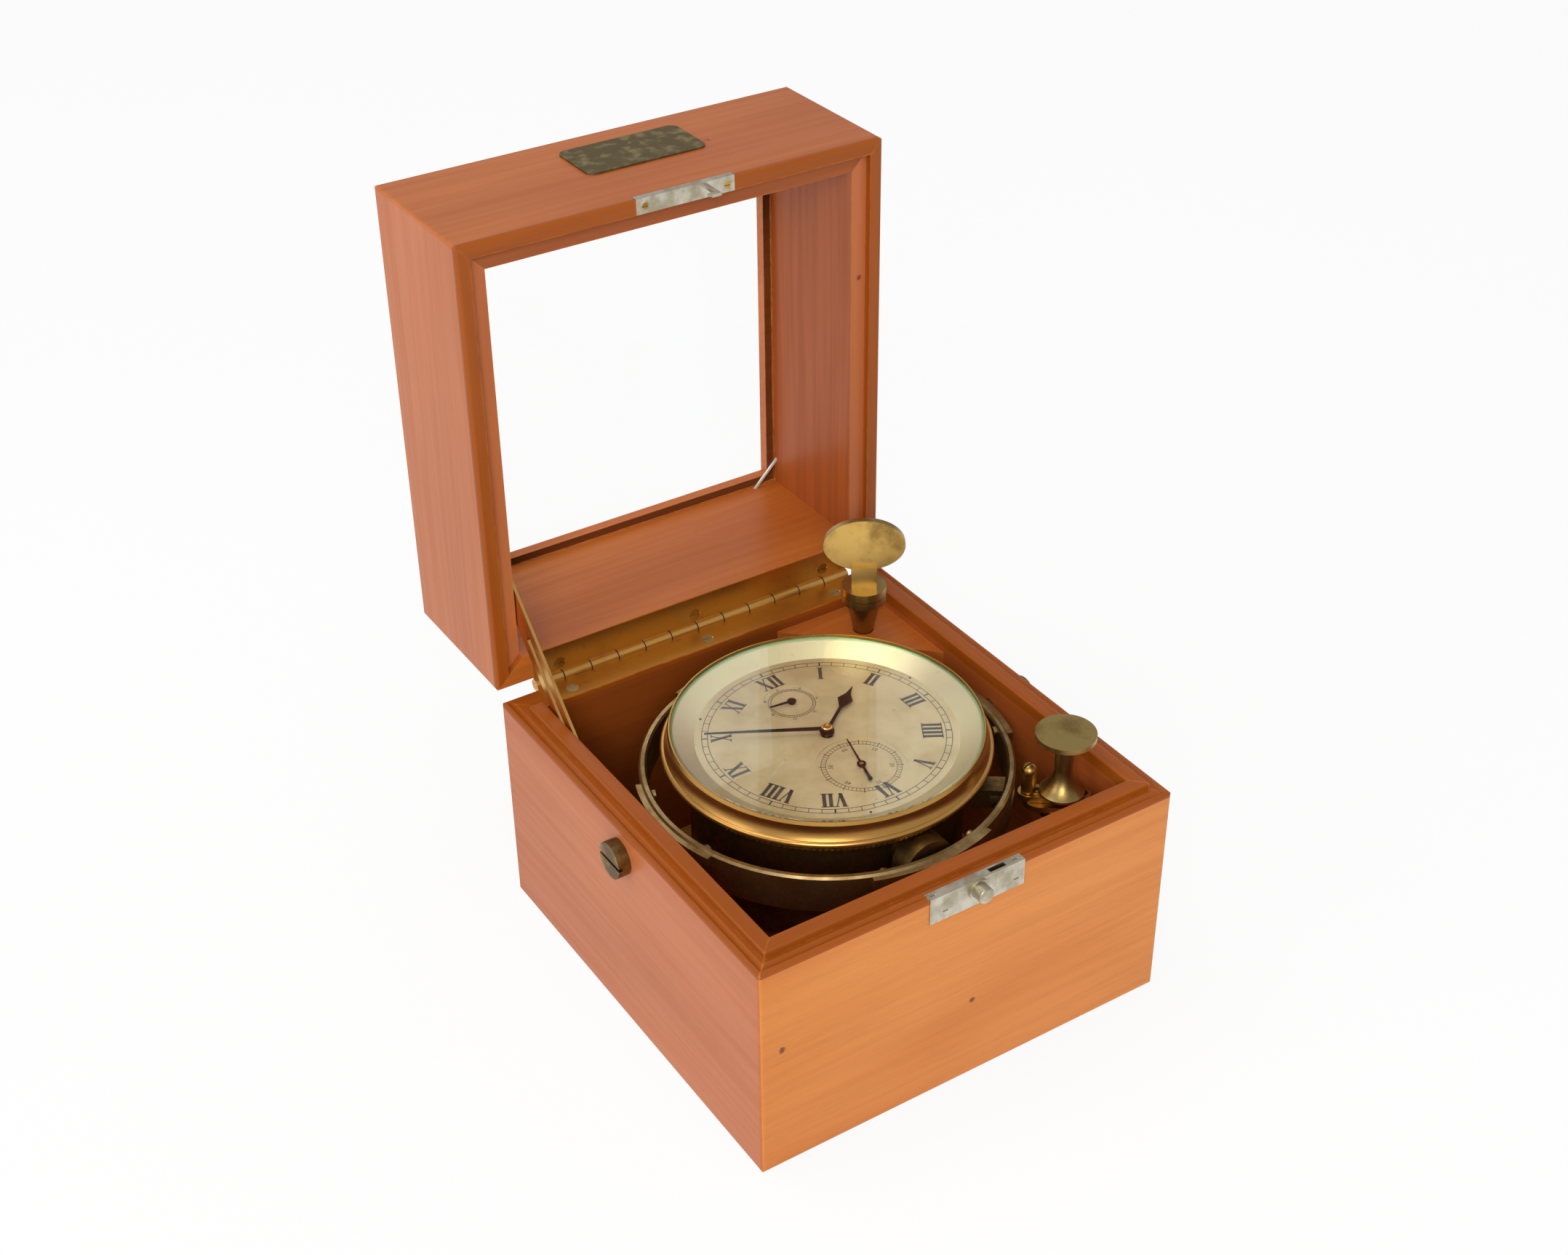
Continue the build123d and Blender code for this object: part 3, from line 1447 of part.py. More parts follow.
with BuildPart() as top_plate:
    with BuildSketch(Plane.XY.offset(top_plate_low)):
        Circle(top_plate_radius)
        with Locations(centre, third, fourth, balance_place):
            Circle(pivot_radius + running_fit, mode=Mode.SUBTRACT)
        with Locations(escape):
            Circle(arbor_radius + running_fit, mode=Mode.SUBTRACT)
        with Locations(fusee_place, barrel_place):
            Circle(fusee_arbor_radius + running_fit, mode=Mode.SUBTRACT)
    extrude(amount=top_plate_thickness)
    with BuildSketch(detent_plane.offset(top_plate_low)):
        with Locations((-cover_gap - detent_foot / 2, 0)):
            Rectangle(detent_foot, 1.5 * detent_foot)
    extrude(amount=-detent_foot)
top_plate.part.label = "top_plate"
export_step(top_plate.part, "parts/top_plate.step")

with BuildPart() as centre_wheel:
    toothed_disc(
        gear_outline(centre, centre_teeth, centre_module, centre_to_third),
        centre,
        centre_arbor_radius,
        centre_wheel_level,
        wheel_thickness,
    )
    crossed_out(centre, centre_teeth, centre_module, centre_wheel_level)
    toothed_disc(
        gear_outline(
            centre, centre_pinion_leaves, great_module, driven_phase(fusee_to_centre, centre_pinion_leaves)
        ),
        centre,
        centre_arbor_radius,
        top_plate_top + 2 * cover_gap,
        pinion_height,
    )
    shaft(centre, centre_arbor_radius, top_plate_top + cover_gap, minute_hand_height + 2 * hand_thickness)
    shaft(centre, pivot_radius, top_plate_low + pivot_inset, top_plate_top + cover_gap)
centre_wheel.part.label = "centre_wheel"
export_step(centre_wheel.part, "parts/centre_wheel.step")

with BuildPart() as third_wheel:
    toothed_disc(
        gear_outline(third, third_teeth, third_module, third_to_fourth),
        third,
        arbor_radius,
        third_wheel_level,
        wheel_thickness,
    )
    crossed_out(third, third_teeth, third_module, third_wheel_level)
    toothed_disc(
        gear_outline(
            third, third_pinion_leaves, centre_module, driven_phase(centre_to_third, third_pinion_leaves)
        ),
        third,
        arbor_radius,
        centre_wheel_level + wheel_thickness / 2 - pinion_height / 2,
        pinion_height,
    )
    pivoted_arbor(third)
third_wheel.part.label = "third_wheel"
export_step(third_wheel.part, "parts/third_wheel.step")

with BuildPart() as fourth_wheel:
    toothed_disc(
        gear_outline(fourth, fourth_teeth, fourth_module, escape_azimuth),
        fourth,
        arbor_radius,
        fourth_wheel_level,
        wheel_thickness,
    )
    crossed_out(fourth, fourth_teeth, fourth_module, fourth_wheel_level)
    toothed_disc(
        gear_outline(
            fourth, fourth_pinion_leaves, third_module, driven_phase(third_to_fourth, fourth_pinion_leaves)
        ),
        fourth,
        arbor_radius,
        third_wheel_level + wheel_thickness / 2 - pinion_height / 2,
        pinion_height,
    )
    pivoted_arbor(fourth)
    shaft(fourth, arbor_radius - 2 * running_fit, pillar_plate_low, seconds_hand_height + hand_thickness)
fourth_wheel.part.label = "fourth_wheel"
export_step(fourth_wheel.part, "parts/fourth_wheel.step")

with BuildPart() as escape_wheel:
    tooth_pitch = 360 / escape_wheel_teeth
    saw_teeth = []
    for tooth in range(escape_wheel_teeth):
        saw_teeth.append(offset_point(escape, escape_radius, tooth * tooth_pitch))
        saw_teeth.append(offset_point(escape, 0.8 * escape_radius, (tooth + 0.1) * tooth_pitch))
        saw_teeth.append(offset_point(escape, 0.8 * escape_radius, (tooth + 0.7) * tooth_pitch))
    toothed_disc(saw_teeth, escape, arbor_radius, escape_wheel_level, wheel_thickness)
    toothed_disc(
        gear_outline(
            escape, escape_pinion_leaves, fourth_module, driven_phase(escape_azimuth, escape_pinion_leaves)
        ),
        escape,
        arbor_radius,
        fourth_wheel_level + wheel_thickness / 2 - pinion_height / 2,
        pinion_height,
    )
    shaft(escape, arbor_radius, escape_wheel_level - cover_thickness, pillar_plate_low - cover_gap)
    shaft(escape, pivot_radius, pillar_plate_low - cover_gap, pillar_plate_top - cover_gap)
escape_wheel.part.label = "escape_wheel"
export_step(escape_wheel.part, "parts/escape_wheel.step")

with BuildPart() as barrel:
    drum_low = great_wheel_level + cover_thickness
    with Locations((*barrel_place, drum_low)):
        Cylinder(barrel_radius - cover_thickness, barrel_height, align=MIDDLE_LOW)
        Cylinder(barrel_radius, cover_thickness, align=MIDDLE_LOW)
    with Locations((*barrel_place, drum_low + barrel_height)):
        Cylinder(barrel_radius, cover_thickness, align=MIDDLE_HIGH)
    shaft(barrel_place, fusee_arbor_radius, top_plate_low, pillar_plate_top)
barrel.part.label = "barrel"
export_step(barrel.part, "parts/barrel.step")

with BuildPart() as fusee:
    toothed_disc(
        gear_outline(fusee_place, great_teeth, great_module, fusee_to_centre),
        fusee_place,
        fusee_arbor_radius,
        great_wheel_level,
        2 * cover_thickness,
    )
    # Grooved cone that narrows upwards in steps, one groove for each turn of the chain
    cone_low = great_wheel_level + 2 * cover_thickness
    turn_height = (drum_low + barrel_height - cone_low) / fusee_turns
    cone_taper = (fusee_large_radius - fusee_small_radius) / fusee_turns
    cone_section = [(0, cone_low)]
    for turn in range(fusee_turns):
        level = cone_low + turn * turn_height
        radius = fusee_large_radius - turn * cone_taper
        cone_section.append((radius, level))
        cone_section.append((radius - cone_taper, level + 0.6 * turn_height))
    cone_section.append((fusee_small_radius, drum_low + barrel_height))
    cone_section.append((0, drum_low + barrel_height))
    with BuildSketch(Plane((*fusee_place, 0), x_dir=(1, 0, 0), z_dir=(0, -1, 0))):
        with BuildLine():
            Polyline(*cone_section, close=True)
        make_face()
    revolve(axis=Axis((*fusee_place, 0), (0, 0, 1)))
    shaft(fusee_place, fusee_arbor_radius, top_plate_low - cover_gap, pillar_plate_top)
    with Locations((*fusee_place, winding_square_low)):
        Box(winding_square, winding_square, top_plate_low - winding_square_low, align=MIDDLE_LOW)
fusee.part.label = "fusee"
export_step(fusee.part, "parts/fusee.step")

with BuildPart() as detent:
    with BuildSketch(detent_plane.offset(escape_wheel_level - 0.4 * wheel_thickness)):
        with Locations((detent_length / 2, 0)):
            Rectangle(detent_length, cover_thickness)
        with Locations((detent_length - 1.2, -cover_thickness / 2)):
            Rectangle(cover_thickness, 0.8 * cover_thickness, align=(Align.CENTER, Align.MAX))
    extrude(amount=1.8 * wheel_thickness)
detent.part.label = "detent"
export_step(detent.part, "parts/detent.step")

with BuildPart() as balance:
    with BuildSketch(Plane.XY.offset(balance_level)):
        with Locations(balance_place):
            Circle(balance_radius)
            Circle(balance_radius - 2 * cover_thickness, mode=Mode.SUBTRACT)
            Rectangle(2 * balance_radius - 2 * cover_thickness, 2.4 * cover_thickness)
        with Locations(
            offset_point(balance_place, balance_radius - cover_thickness, 90),
            offset_point(balance_place, balance_radius - cover_thickness, -90),
        ):
            Circle(2 * cover_thickness)
    extrude(amount=balance_rim_height)
    shaft(balance_place, arbor_radius, cock_low + cock_thickness + cover_gap, top_plate_low - cover_gap)
    shaft(balance_place, pivot_radius, cock_low + cock_thickness / 2, top_plate_low + cock_thickness / 2)
    shaft(balance_place, roller_radius, escape_wheel_level, escape_wheel_level + wheel_thickness)
balance.part.label = "balance"
export_step(balance.part, "parts/balance.step")

with BuildPart() as balance_spring:
    spring_low = cock_low + cock_thickness + 2 * cover_gap
    spring_place = (*balance_place, spring_low)
    with BuildLine():
        coil = Helix(spring_height / spring_turns, spring_height, spring_radius, center=spring_place)
    with BuildSketch(Plane(coil @ 0, x_dir=(1, 0, 0), z_dir=coil % 0)):
        Rectangle(spring_blade, 2 * spring_blade)
    sweep(path=coil, is_frenet=True)
balance_spring.part.label = "balance_spring"
export_step(balance_spring.part, "parts/balance_spring.step")

with BuildPart() as balance_cock:
    with BuildSketch(Plane.XY.offset(cock_low)):
        with Locations(balance_place):
            Circle(cock_thickness)
        with Locations(cock_foot):
            Circle(cock_thickness + cover_thickness)
        make_hull()
        with Locations(balance_place):
            Circle(pivot_radius + running_fit, mode=Mode.SUBTRACT)
    extrude(amount=cock_thickness)
    shaft(cock_foot, cock_thickness + cover_thickness, cock_low, top_plate_low)
balance_cock.part.label = "balance_cock"
export_step(balance_cock.part, "parts/balance_cock.step")

# Hands


def hand_plane(place, angle, height):
    """Plane of a hand, with x along the hand."""
    return Plane((*place, height), x_dir=(*polar(1, angle), 0), z_dir=(0, 0, 1))


with BuildPart() as hour_hand:
    shaft(centre, hour_pipe_outer, pillar_plate_top + cover_gap, hour_hand_height + hand_thickness)
    with BuildSketch(hand_plane(centre, hour_hand_angle, hour_hand_height)):
        Circle(hour_pipe_outer + hand_thickness)
        with BuildLine():
            Polyline(
                (0, 0.7),
                (0.52 * hour_hand_length, 0.6),
                (0.70 * hour_hand_length, 3.1),
                (0.82 * hour_hand_length, 1.0),
                (hour_hand_length, 0),
                (0.82 * hour_hand_length, -1.0),
                (0.70 * hour_hand_length, -3.1),
                (0.52 * hour_hand_length, -0.6),
                (0, -0.7),
                close=True,
            )
        make_face()
    extrude(amount=hand_thickness)
    with Locations((0, 0, hour_hand_height)):
        Cylinder(
            centre_arbor_radius + running_fit,
            2 * (hour_hand_height - pillar_plate_top),
            mode=Mode.SUBTRACT,
        )
hour_hand.part.label = "hour_hand"
export_step(hour_hand.part, "parts/hour_hand.step")

with BuildPart() as minute_hand:
    with BuildSketch(hand_plane(centre, minute_hand_angle, minute_hand_height)):
        Circle(hub_radius)
        with BuildLine():
            Polyline((0, 1.0), (minute_hand_length, 0.25), (minute_hand_length, -0.25), (0, -1.0), close=True)
        make_face()
    extrude(amount=hand_thickness)
    with Locations((0, 0, minute_hand_height)):
        Cylinder(hub_radius, 2 * hand_thickness, align=MIDDLE_LOW)
        Cylinder(centre_arbor_radius, 2 * hand_thickness, align=MIDDLE_LOW, mode=Mode.SUBTRACT)
minute_hand.part.label = "minute_hand"
export_step(minute_hand.part, "parts/minute_hand.step")

with BuildPart() as seconds_hand:
    with BuildSketch(hand_plane(fourth, seconds_hand_angle, seconds_hand_height)):
        Circle(2 * arbor_radius - running_fit)
        with BuildLine():
            Polyline(
                (-seconds_tail_length, 0.6),
                (0, 0.4),
                (seconds_hand_length, 0.15),
                (seconds_hand_length, -0.15),
                (0, -0.4),
                (-seconds_tail_length, -0.6),
                close=True,
            )
        make_face()
        with Locations((-seconds_tail_length, 0)):
            Circle(arbor_radius)
        Circle(arbor_radius - 2 * running_fit, mode=Mode.SUBTRACT)
    extrude(amount=hand_thickness)
seconds_hand.part.label = "seconds_hand"
export_step(seconds_hand.part, "parts/seconds_hand.step")

with BuildPart() as power_hand:
    with BuildSketch(hand_plane(power_place, power_hand_angle, power_hand_height)):
        Circle(2 * arbor_radius)
        with BuildLine():
            Polyline((0, 0.5), (power_hand_length, 0.2), (power_hand_length, -0.2), (0, -0.5), close=True)
        make_face()
    extrude(amount=hand_thickness)
    shaft(power_place, arbor_radius - 2 * running_fit, pillar_plate_low + cover_gap, power_hand_height)
power_hand.part.label = "power_hand"
export_step(power_hand.part, "parts/power_hand.step")

# Gimbal lock

with BuildPart() as lock_block:
    with BuildSketch(Plane.XY.offset(lock_block_top)):
        with BuildLine():
            Polyline(
                (inner_x - lock_block_leg, -inner_y),
                (inner_x, -inner_y),
                (inner_x, lock_block_leg - inner_y),
                close=True,
            )
        make_face()
    extrude(amount=-lock_block_height)
    with Locations((knob_x, knob_y, lock_block_top)):
        Cylinder(lock_stud_radius, 2 * screw_length, mode=Mode.SUBTRACT)
lock_block.part.label = "lock_block"
export_step(lock_block.part, "parts/lock_block.step")

plate_top = arm_low - arm_running_gap
plate_low = plate_top - bracket_thickness

with BuildPart() as gimbal_lock_bracket:
    with BuildSketch(arm_plane.offset(plate_low)):
        with Locations(((bracket_reach - bracket_tail) / 2, 0)):
            SlotOverall(bracket_reach + bracket_tail, bracket_width)
        with Locations((lock_post_distance, 0)):
            Circle(lock_post_shank_radius, mode=Mode.SUBTRACT)
    extrude(amount=bracket_thickness)
    with Locations((knob_x, knob_y, lock_block_top)):
        Cylinder(bracket_foot_radius, plate_low - lock_block_top, align=MIDDLE_LOW)
        Cylinder(lock_stud_radius, 4 * bracket_foot_radius, mode=Mode.SUBTRACT)
gimbal_lock_bracket.part.label = "gimbal_lock_bracket"
export_step(gimbal_lock_bracket.part, "parts/gimbal_lock_bracket.step")

post_place = offset_point((knob_x, knob_y), lock_post_distance, arm_direction)

with BuildPart() as gimbal_lock_pins:
    stud_top = knob_top - knob_disc_thickness - arm_running_gap
    shaft((knob_x, knob_y), lock_stud_radius, lock_block_top - screw_length, stud_top)
    shaft(post_place, lock_post_shank_radius, plate_low, arm_top + cover_gap)
    shaft(post_place, lock_post_radius, arm_top + cover_gap, lock_post_top - lock_post_ball_radius)
    with Locations((*post_place, lock_post_top - lock_post_ball_radius)):
        Sphere(lock_post_ball_radius)
    with Locations((*post_place, lock_post_top)):
        slotted_head_cut(lock_post_ball_radius, screw_slot_width, 2 * screw_slot_depth)
gimbal_lock_pins.part.label = "gimbal_lock_pins"
export_step(gimbal_lock_pins.part, "parts/gimbal_lock_pins.step")

with BuildPart() as gimbal_lock_arm:
    with BuildSketch(arm_plane.offset(arm_low)):
        with Locations(((arm_tip - arm_tail) / 2, 0)):
            SlotOverall(arm_tip + arm_tail, arm_width)
        with Locations(((lock_post_distance - arm_travel) / 2, 0)):
            SlotCenterToCenter(lock_post_distance + arm_travel, arm_slot_width, mode=Mode.SUBTRACT)
    extrude(amount=arm_thickness)
gimbal_lock_arm.part.label = "gimbal_lock_arm"
export_step(gimbal_lock_arm.part, "parts/gimbal_lock_arm.step")

knob_low = arm_top + cover_gap
knob_plane = Plane((knob_x, knob_y, 0), x_dir=(1, 0, 0), z_dir=(0, -1, 0))

with BuildPart() as gimbal_lock_knob:
    with BuildSketch(knob_plane):
        bore = lock_stud_radius + running_fit
        disc_low = knob_top - knob_disc_thickness
        waist = (knob_low + disc_low) / 2
        with BuildLine():
            Line((0, knob_top), (0, disc_low))
            Line((0, disc_low), (bore, disc_low))
            Line((bore, disc_low), (bore, knob_low))
            Line((bore, knob_low), (knob_base_radius, knob_low))
            Line((knob_base_radius, knob_low), (knob_base_radius, knob_low + knob_disc_thickness / 2))
            ThreePointArc(
                (knob_base_radius, knob_low + knob_disc_thickness / 2),
                (knob_stem_radius + 0.22 * knob_base_radius, knob_low + 0.35 * (waist - knob_low)),
                (knob_stem_radius, waist),
            )
            Line((knob_stem_radius, waist), (knob_stem_radius, disc_low - knob_disc_thickness))
            ThreePointArc(
                (knob_stem_radius, disc_low - knob_disc_thickness),
                (1.15 * knob_stem_radius, disc_low - 0.4 * knob_disc_thickness),
                (1.8 * knob_stem_radius, disc_low),
            )
            Line((1.8 * knob_stem_radius, disc_low), (knob_disc_radius, disc_low))
            Line((knob_disc_radius, disc_low), (knob_disc_radius, knob_top))
            Line((knob_disc_radius, knob_top), (0, knob_top))
        make_face()
    revolve(axis=Axis((knob_x, knob_y, 0), (0, 0, 1)))
gimbal_lock_knob.part.label = "gimbal_lock_knob"
export_step(gimbal_lock_knob.part, "parts/gimbal_lock_knob.step")

# Key

key_low = shelf_top - key_recess_depth + arm_running_gap
barrel_collar_top = key_cone_top + key_collar_height
head_collar_low = barrel_collar_top + key_collar_gap
key_section_plane = Plane((key_x, key_y, 0), x_dir=(1, 0, 0), z_dir=(0, -1, 0))
key_head_plane = Plane(
    (key_x, key_y, 0),
    x_dir=(*polar(1, key_head_turn), 0),
    z_dir=(*polar(1, key_head_turn - 90), 0),
)

with BuildPart() as key_barrel:
    with BuildSketch(key_section_plane):
        with BuildLine():
            Polyline(
                (0, key_low),
                (key_barrel_radius, key_low),
                (key_barrel_radius, shelf_top),
                (key_cone_radius, key_cone_top),
                (key_collar_radius, key_cone_top),
                (key_collar_radius, barrel_collar_top),
                (0, barrel_collar_top),
                close=True,
            )
        make_face()
    revolve(axis=Axis((key_x, key_y, 0), (0, 0, 1)))
    with Locations((key_x, key_y, barrel_collar_top)):
        Cylinder(
            key_spigot_radius + running_fit,
            key_spigot_length + key_collar_gap,
            align=MIDDLE_HIGH,
            mode=Mode.SUBTRACT,
        )
    with Locations((key_x, key_y, key_low)):
        Box(
            winding_square + 2 * key_collar_gap,
            winding_square + 2 * key_collar_gap,
            2 * key_spigot_length,
            mode=Mode.SUBTRACT,
        )
key_barrel.part.label = "key_barrel"
export_step(key_barrel.part, "parts/key_barrel.step")

with BuildPart() as key_head:
    with Locations((key_x, key_y, head_collar_low)):
        Cylinder(key_collar_radius, key_neck_low - head_collar_low, align=MIDDLE_LOW)
        Cylinder(key_spigot_radius, key_spigot_length, align=MIDDLE_HIGH)
    with BuildSketch(key_head_plane):
        with Locations((0, (key_neck_low + key_neck_high) / 2)):
            Rectangle(key_neck_width, key_neck_high - key_neck_low)
        with Locations((0, key_head_top - key_head_height / 2)):
            Ellipse(key_head_width / 2, key_head_height / 2)
    extrude(amount=key_head_thickness / 2, both=True)
    with BuildSketch(key_head_plane):
        with Locations((0, (key_neck_low + key_neck_high) / 2)):
            Rectangle(key_neck_width, key_neck_high - key_neck_low)
    extrude(amount=key_neck_width / 3, both=True)
key_head.part.label = "key_head"
export_step(key_head.part, "parts/key_head.step")
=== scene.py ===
"""Looks of a marine chronometer: varnished box, aged brass, silvered dial with its figures."""

import math

import bmesh
import bpy
from mathutils import Matrix, Vector


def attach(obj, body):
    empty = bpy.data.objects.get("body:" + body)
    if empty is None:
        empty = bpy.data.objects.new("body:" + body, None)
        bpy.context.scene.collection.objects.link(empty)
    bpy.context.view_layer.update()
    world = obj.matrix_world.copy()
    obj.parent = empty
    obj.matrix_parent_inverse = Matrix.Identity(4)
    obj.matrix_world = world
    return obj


MM = 0.001

# Numerals and tracks of the dial, millimetres
DIAL_TOP = 101.2
SUBDIAL_SINK = 0.3
INK = 0.03
SECONDS_CENTRE = (0.0, -23.6)
POWER_CENTRE = (0.0, 24.9)
NUMERAL_INNER = 36.9
NUMERAL_HEIGHT = 8.0
THICK_STROKE = 1.45
THIN_STROKE = 0.5
SERIF_LENGTH = 2.5
SERIF_HEIGHT = 0.42
LONG_SERIF_SHARE = 0.85
SHORT_SERIF_SHARE = 0.7
LETTER_MARGIN = 0.9
NUMERAL_ADVANCE = {"I": 2.45, "V": 4.9, "X": 4.9}
HOUR_NUMERALS = ("XII", "I", "II", "III", "IIII", "V", "VI", "VII", "VIII", "IX", "X", "XI")
CUT_NUMERAL = "VI"
SECONDS_CLEARING = 18.0
MINUTE_TRACK = 46.2
TRACK_LINE = 0.28
TRACK_WIDTH = 2.3
SUBDIAL_LINE = 0.2
SECONDS_RINGS = (13.6, 15.4)
POWER_RINGS = (8.3, 9.4)

# Bars of the dial, millimetres: how many, their circle's radius, their length and their width
TRACK_MIDDLE = MINUTE_TRACK + TRACK_WIDTH / 2
MINUTE_MARKS = (60, TRACK_MIDDLE, TRACK_WIDTH, TRACK_LINE)
FIVE_MINUTE_MARKS = (12, TRACK_MIDDLE, TRACK_WIDTH, 0.6)
SECONDS_MARKS = (60, 14.5, 1.8, 0.18)
FIVE_SECOND_MARKS = (12, 14.9, 2.6, 0.34)
POWER_MARKS = (56, 8.85, 1.1, 0.18)

# Figures of the subdials: labels, degrees from one to the next, circle's radius and size
SECONDS_FIGURES = (("60", "10", "20", "30", "40", "50"), 60, 11.6, 2.6)
POWER_FIGURES = (("0", "8", "16", "24", "32", "40", "48"), 51.4, 10.45, 1.8)

# Pins of the dial and collar of the hands, millimetres
DIAL_PIN_CIRCLE = 50.4
DIAL_PIN_AZIMUTHS = (15.0, 135.0, 255.0)
DIAL_PIN_PROFILE = ((0.01, 0.0), (0.55, 0.0), (0.45, 0.2), (0.01, 0.25))
COLLAR_PROFILE = ((1.25, 104.1), (2.15, 104.1), (2.15, 104.7), (1.7, 105.0), (1.25, 105.0))

# Knurl around the bowl's flange, millimetres; a tooth is its length outwards, width and height
KNURL_COUNT = 180
KNURL_RADIUS = 62.5
KNURL_TOOTH = (0.7, 1.1, 1.8)
KNURL_CENTRE = (0.0, 0.0, 96.5)

# Hinge, millimetres; the axis is its depth and height
KNUCKLE_COUNT = 12
HINGE_LENGTH = 152.0
HINGE_AXIS = (99.1, 96.9)
# Painted shade between the knuckles: radius and width of each dark ring
KNUCKLE_GAP_SHADE_RADIUS = 2.53
KNUCKLE_GAP_SHADE_WIDTH = 0.55

# Where the looks change and how wide the rubbed edges are, millimetres
BASE_RIM_LEVEL = 94.6
LID_RIM_DEPTH = 101.6
CRYSTAL_EDGE_RADIUS = 59.6
PANE_EDGE_RADIUS = 1000.0
WOOD_EDGE_WIDTH = 0.9
METAL_EDGE_WIDTH = 0.5

# Camera of the photograph: direction and roll in radians, place and sensor in millimetres,
# reach in metres
VIEW_AZIMUTH = -0.56775561
VIEW_ELEVATION = 0.59009582
VIEW_ROLL = -0.01099557
VIEW_SIDE = -17.571
VIEW_UP = 126.321
VIEW_DISTANCE = 934.345
FOCAL_PIXELS = 3111.571
PHOTO_WIDTH = 2156
SENSOR_WIDTH = 36.0
CAMERA_REACH = 30.0

# Studio: metres and watts
FLOOR_HALF_WIDTH = 6.0
FLOOR_WHITE_SHARE = 0.88
SKY_LIGHT = 0.55
LAMP_SIZE = 1.0
LAMP_TARGET = (0.0, 0.0, 0.1)
LAMPS = (
    ("key light", (-1.1, -1.5, 1.3), 24.5),
    ("side light", (-1.8, 0.2, 0.9), 6.0),
    ("top light", (-0.5, 0.5, 2.0), 8.0),
)

# Relief of the wood's parts before its bump, and how strongly each part shows
FIBRE_RELIEF = 0.4
PORE_RELIEF = 0.5
DENT_RELIEF = 3.0
FIBRE_SHARE = 0.7
STREAK_SHARE = 0.22
WOOD_WEAR_SHARE = 0.55
METAL_WEAR_SHARE = 0.5
WOOD_DENT_SHARE = 0.8
SILVER_DENT_SHARE = 0.5

# Roughness added by wear, tarnish, scratches and bloom
WEAR_DULLNESS = 0.15
PATCH_DULLNESS = 0.14
SCRATCH_DULLNESS = 0.12
BLOOM_DULLNESS = 0.1

# Tarnish: noise level of its first patches, the band above it, and how much finer spots are
PATCH_LEVEL = 0.75
PATCH_BAND = 0.3
SPOT_FINENESS = 9.0

WHITE = (1.0, 1.0, 1.0, 1.0)
FLOOR_GREY = (0.9, 0.9, 0.9, 1.0)
SIDE_TO_SIDE = (1.0, 0.0, 0.0)
FRONT_TO_BACK = (0.0, 1.0, 0.0)


# Shader building


class Nodes:
    """Adds nodes to a tree; an input may be a number, a colour or another node's socket."""

    def __init__(self, tree):
        self.tree = tree

    def add(self, kind, inputs=None, **settings):
        node = self.tree.nodes.new(kind)
        for key, value in settings.items():
            setattr(node, key, value)
        self.feed(node, inputs or {})
        return node

    def feed(self, node, values):
        """Sets each named input of a node to a value, or links it to the socket given for it."""
        for key, value in values.items():
            if isinstance(value, bpy.types.NodeSocket):
                self.tree.links.new(value, node.inputs[key])
            else:
                node.inputs[key].default_value = value

    def math(self, operation, first, second=0.0, clamp=False):
        inputs = {0: first, 1: second}
        node = self.add("ShaderNodeMath", inputs, operation=operation, use_clamp=clamp)
        return node.outputs[0]

    def vector_math(self, operation, first, second):
        node = self.add("ShaderNodeVectorMath", {0: first, 1: second}, operation=operation)
        return node.outputs["Value" if operation == "DOT_PRODUCT" else 0]

    def mix(self, factor, first, second):
        inputs = {0: factor, 6: first, 7: second}
        return self.add("ShaderNodeMix", data_type="RGBA", inputs=inputs).outputs[2]

    def band(self, value, low, high):
        """Runs smoothly from 0 at low to 1 at high."""
        node = self.add(
            "ShaderNodeMapRange",
            {"Value": value, "From Min": low, "From Max": high},
            interpolation_type="SMOOTHSTEP",
        )
        return node.outputs["Result"]

    def spread(self, value, low, high):
        """Stretches a 0 to 1 value over another range."""
        node = self.add("ShaderNodeMapRange", {"Value": value, "To Min": low, "To Max": high})
        return node.outputs["Result"]

    def noise(self, vector, scale, detail, roughness=0.5):
        node = self.add(
            "ShaderNodeTexNoise",
            {"Vector": vector, "Scale": scale, "Detail": detail, "Roughness": roughness},
        )
        return node.outputs[0]

    def streaks(self, vector, scales, detail, roughness=0.5):
        """Noise with its own scale along each axis."""
        stretched = self.vector_math("MULTIPLY", vector, scales)
        return self.noise(stretched, scale=1.0, detail=detail, roughness=roughness)

    def place(self):
        """The object's own coordinates, in metres."""
        return self.add("ShaderNodeTexCoord").outputs["Object"]

    def bump(self, height, strength, distance):
        inputs = {"Height": height, "Strength": strength, "Distance": distance}
        return self.add("ShaderNodeBump", inputs).outputs[0]

    def group(self, tree, inputs):
        return self.add("ShaderNodeGroup", inputs, node_tree=tree).outputs


SOCKETS = {"colour": "NodeSocketColor", "value": "NodeSocketFloat", "vector": "NodeSocketVector"}


def new_group(name, inputs, outputs):
    """Empty shader group with named sockets; returns its nodes, inputs and output node."""
    tree = bpy.data.node_groups.new(name, "ShaderNodeTree")
    for socket_name, kind in inputs.items():
        tree.interface.new_socket(socket_name, in_out="INPUT", socket_type=SOCKETS[kind])
    for socket_name, kind in outputs.items():
        tree.interface.new_socket(socket_name, in_out="OUTPUT", socket_type=SOCKETS[kind])
    nodes = Nodes(tree)
    return nodes, nodes.add("NodeGroupInput").outputs, nodes.add("NodeGroupOutput")


def finish_group(nodes, output, values):
    """Links the group's outputs and returns its tree."""
    nodes.feed(output, values)
    return nodes.tree


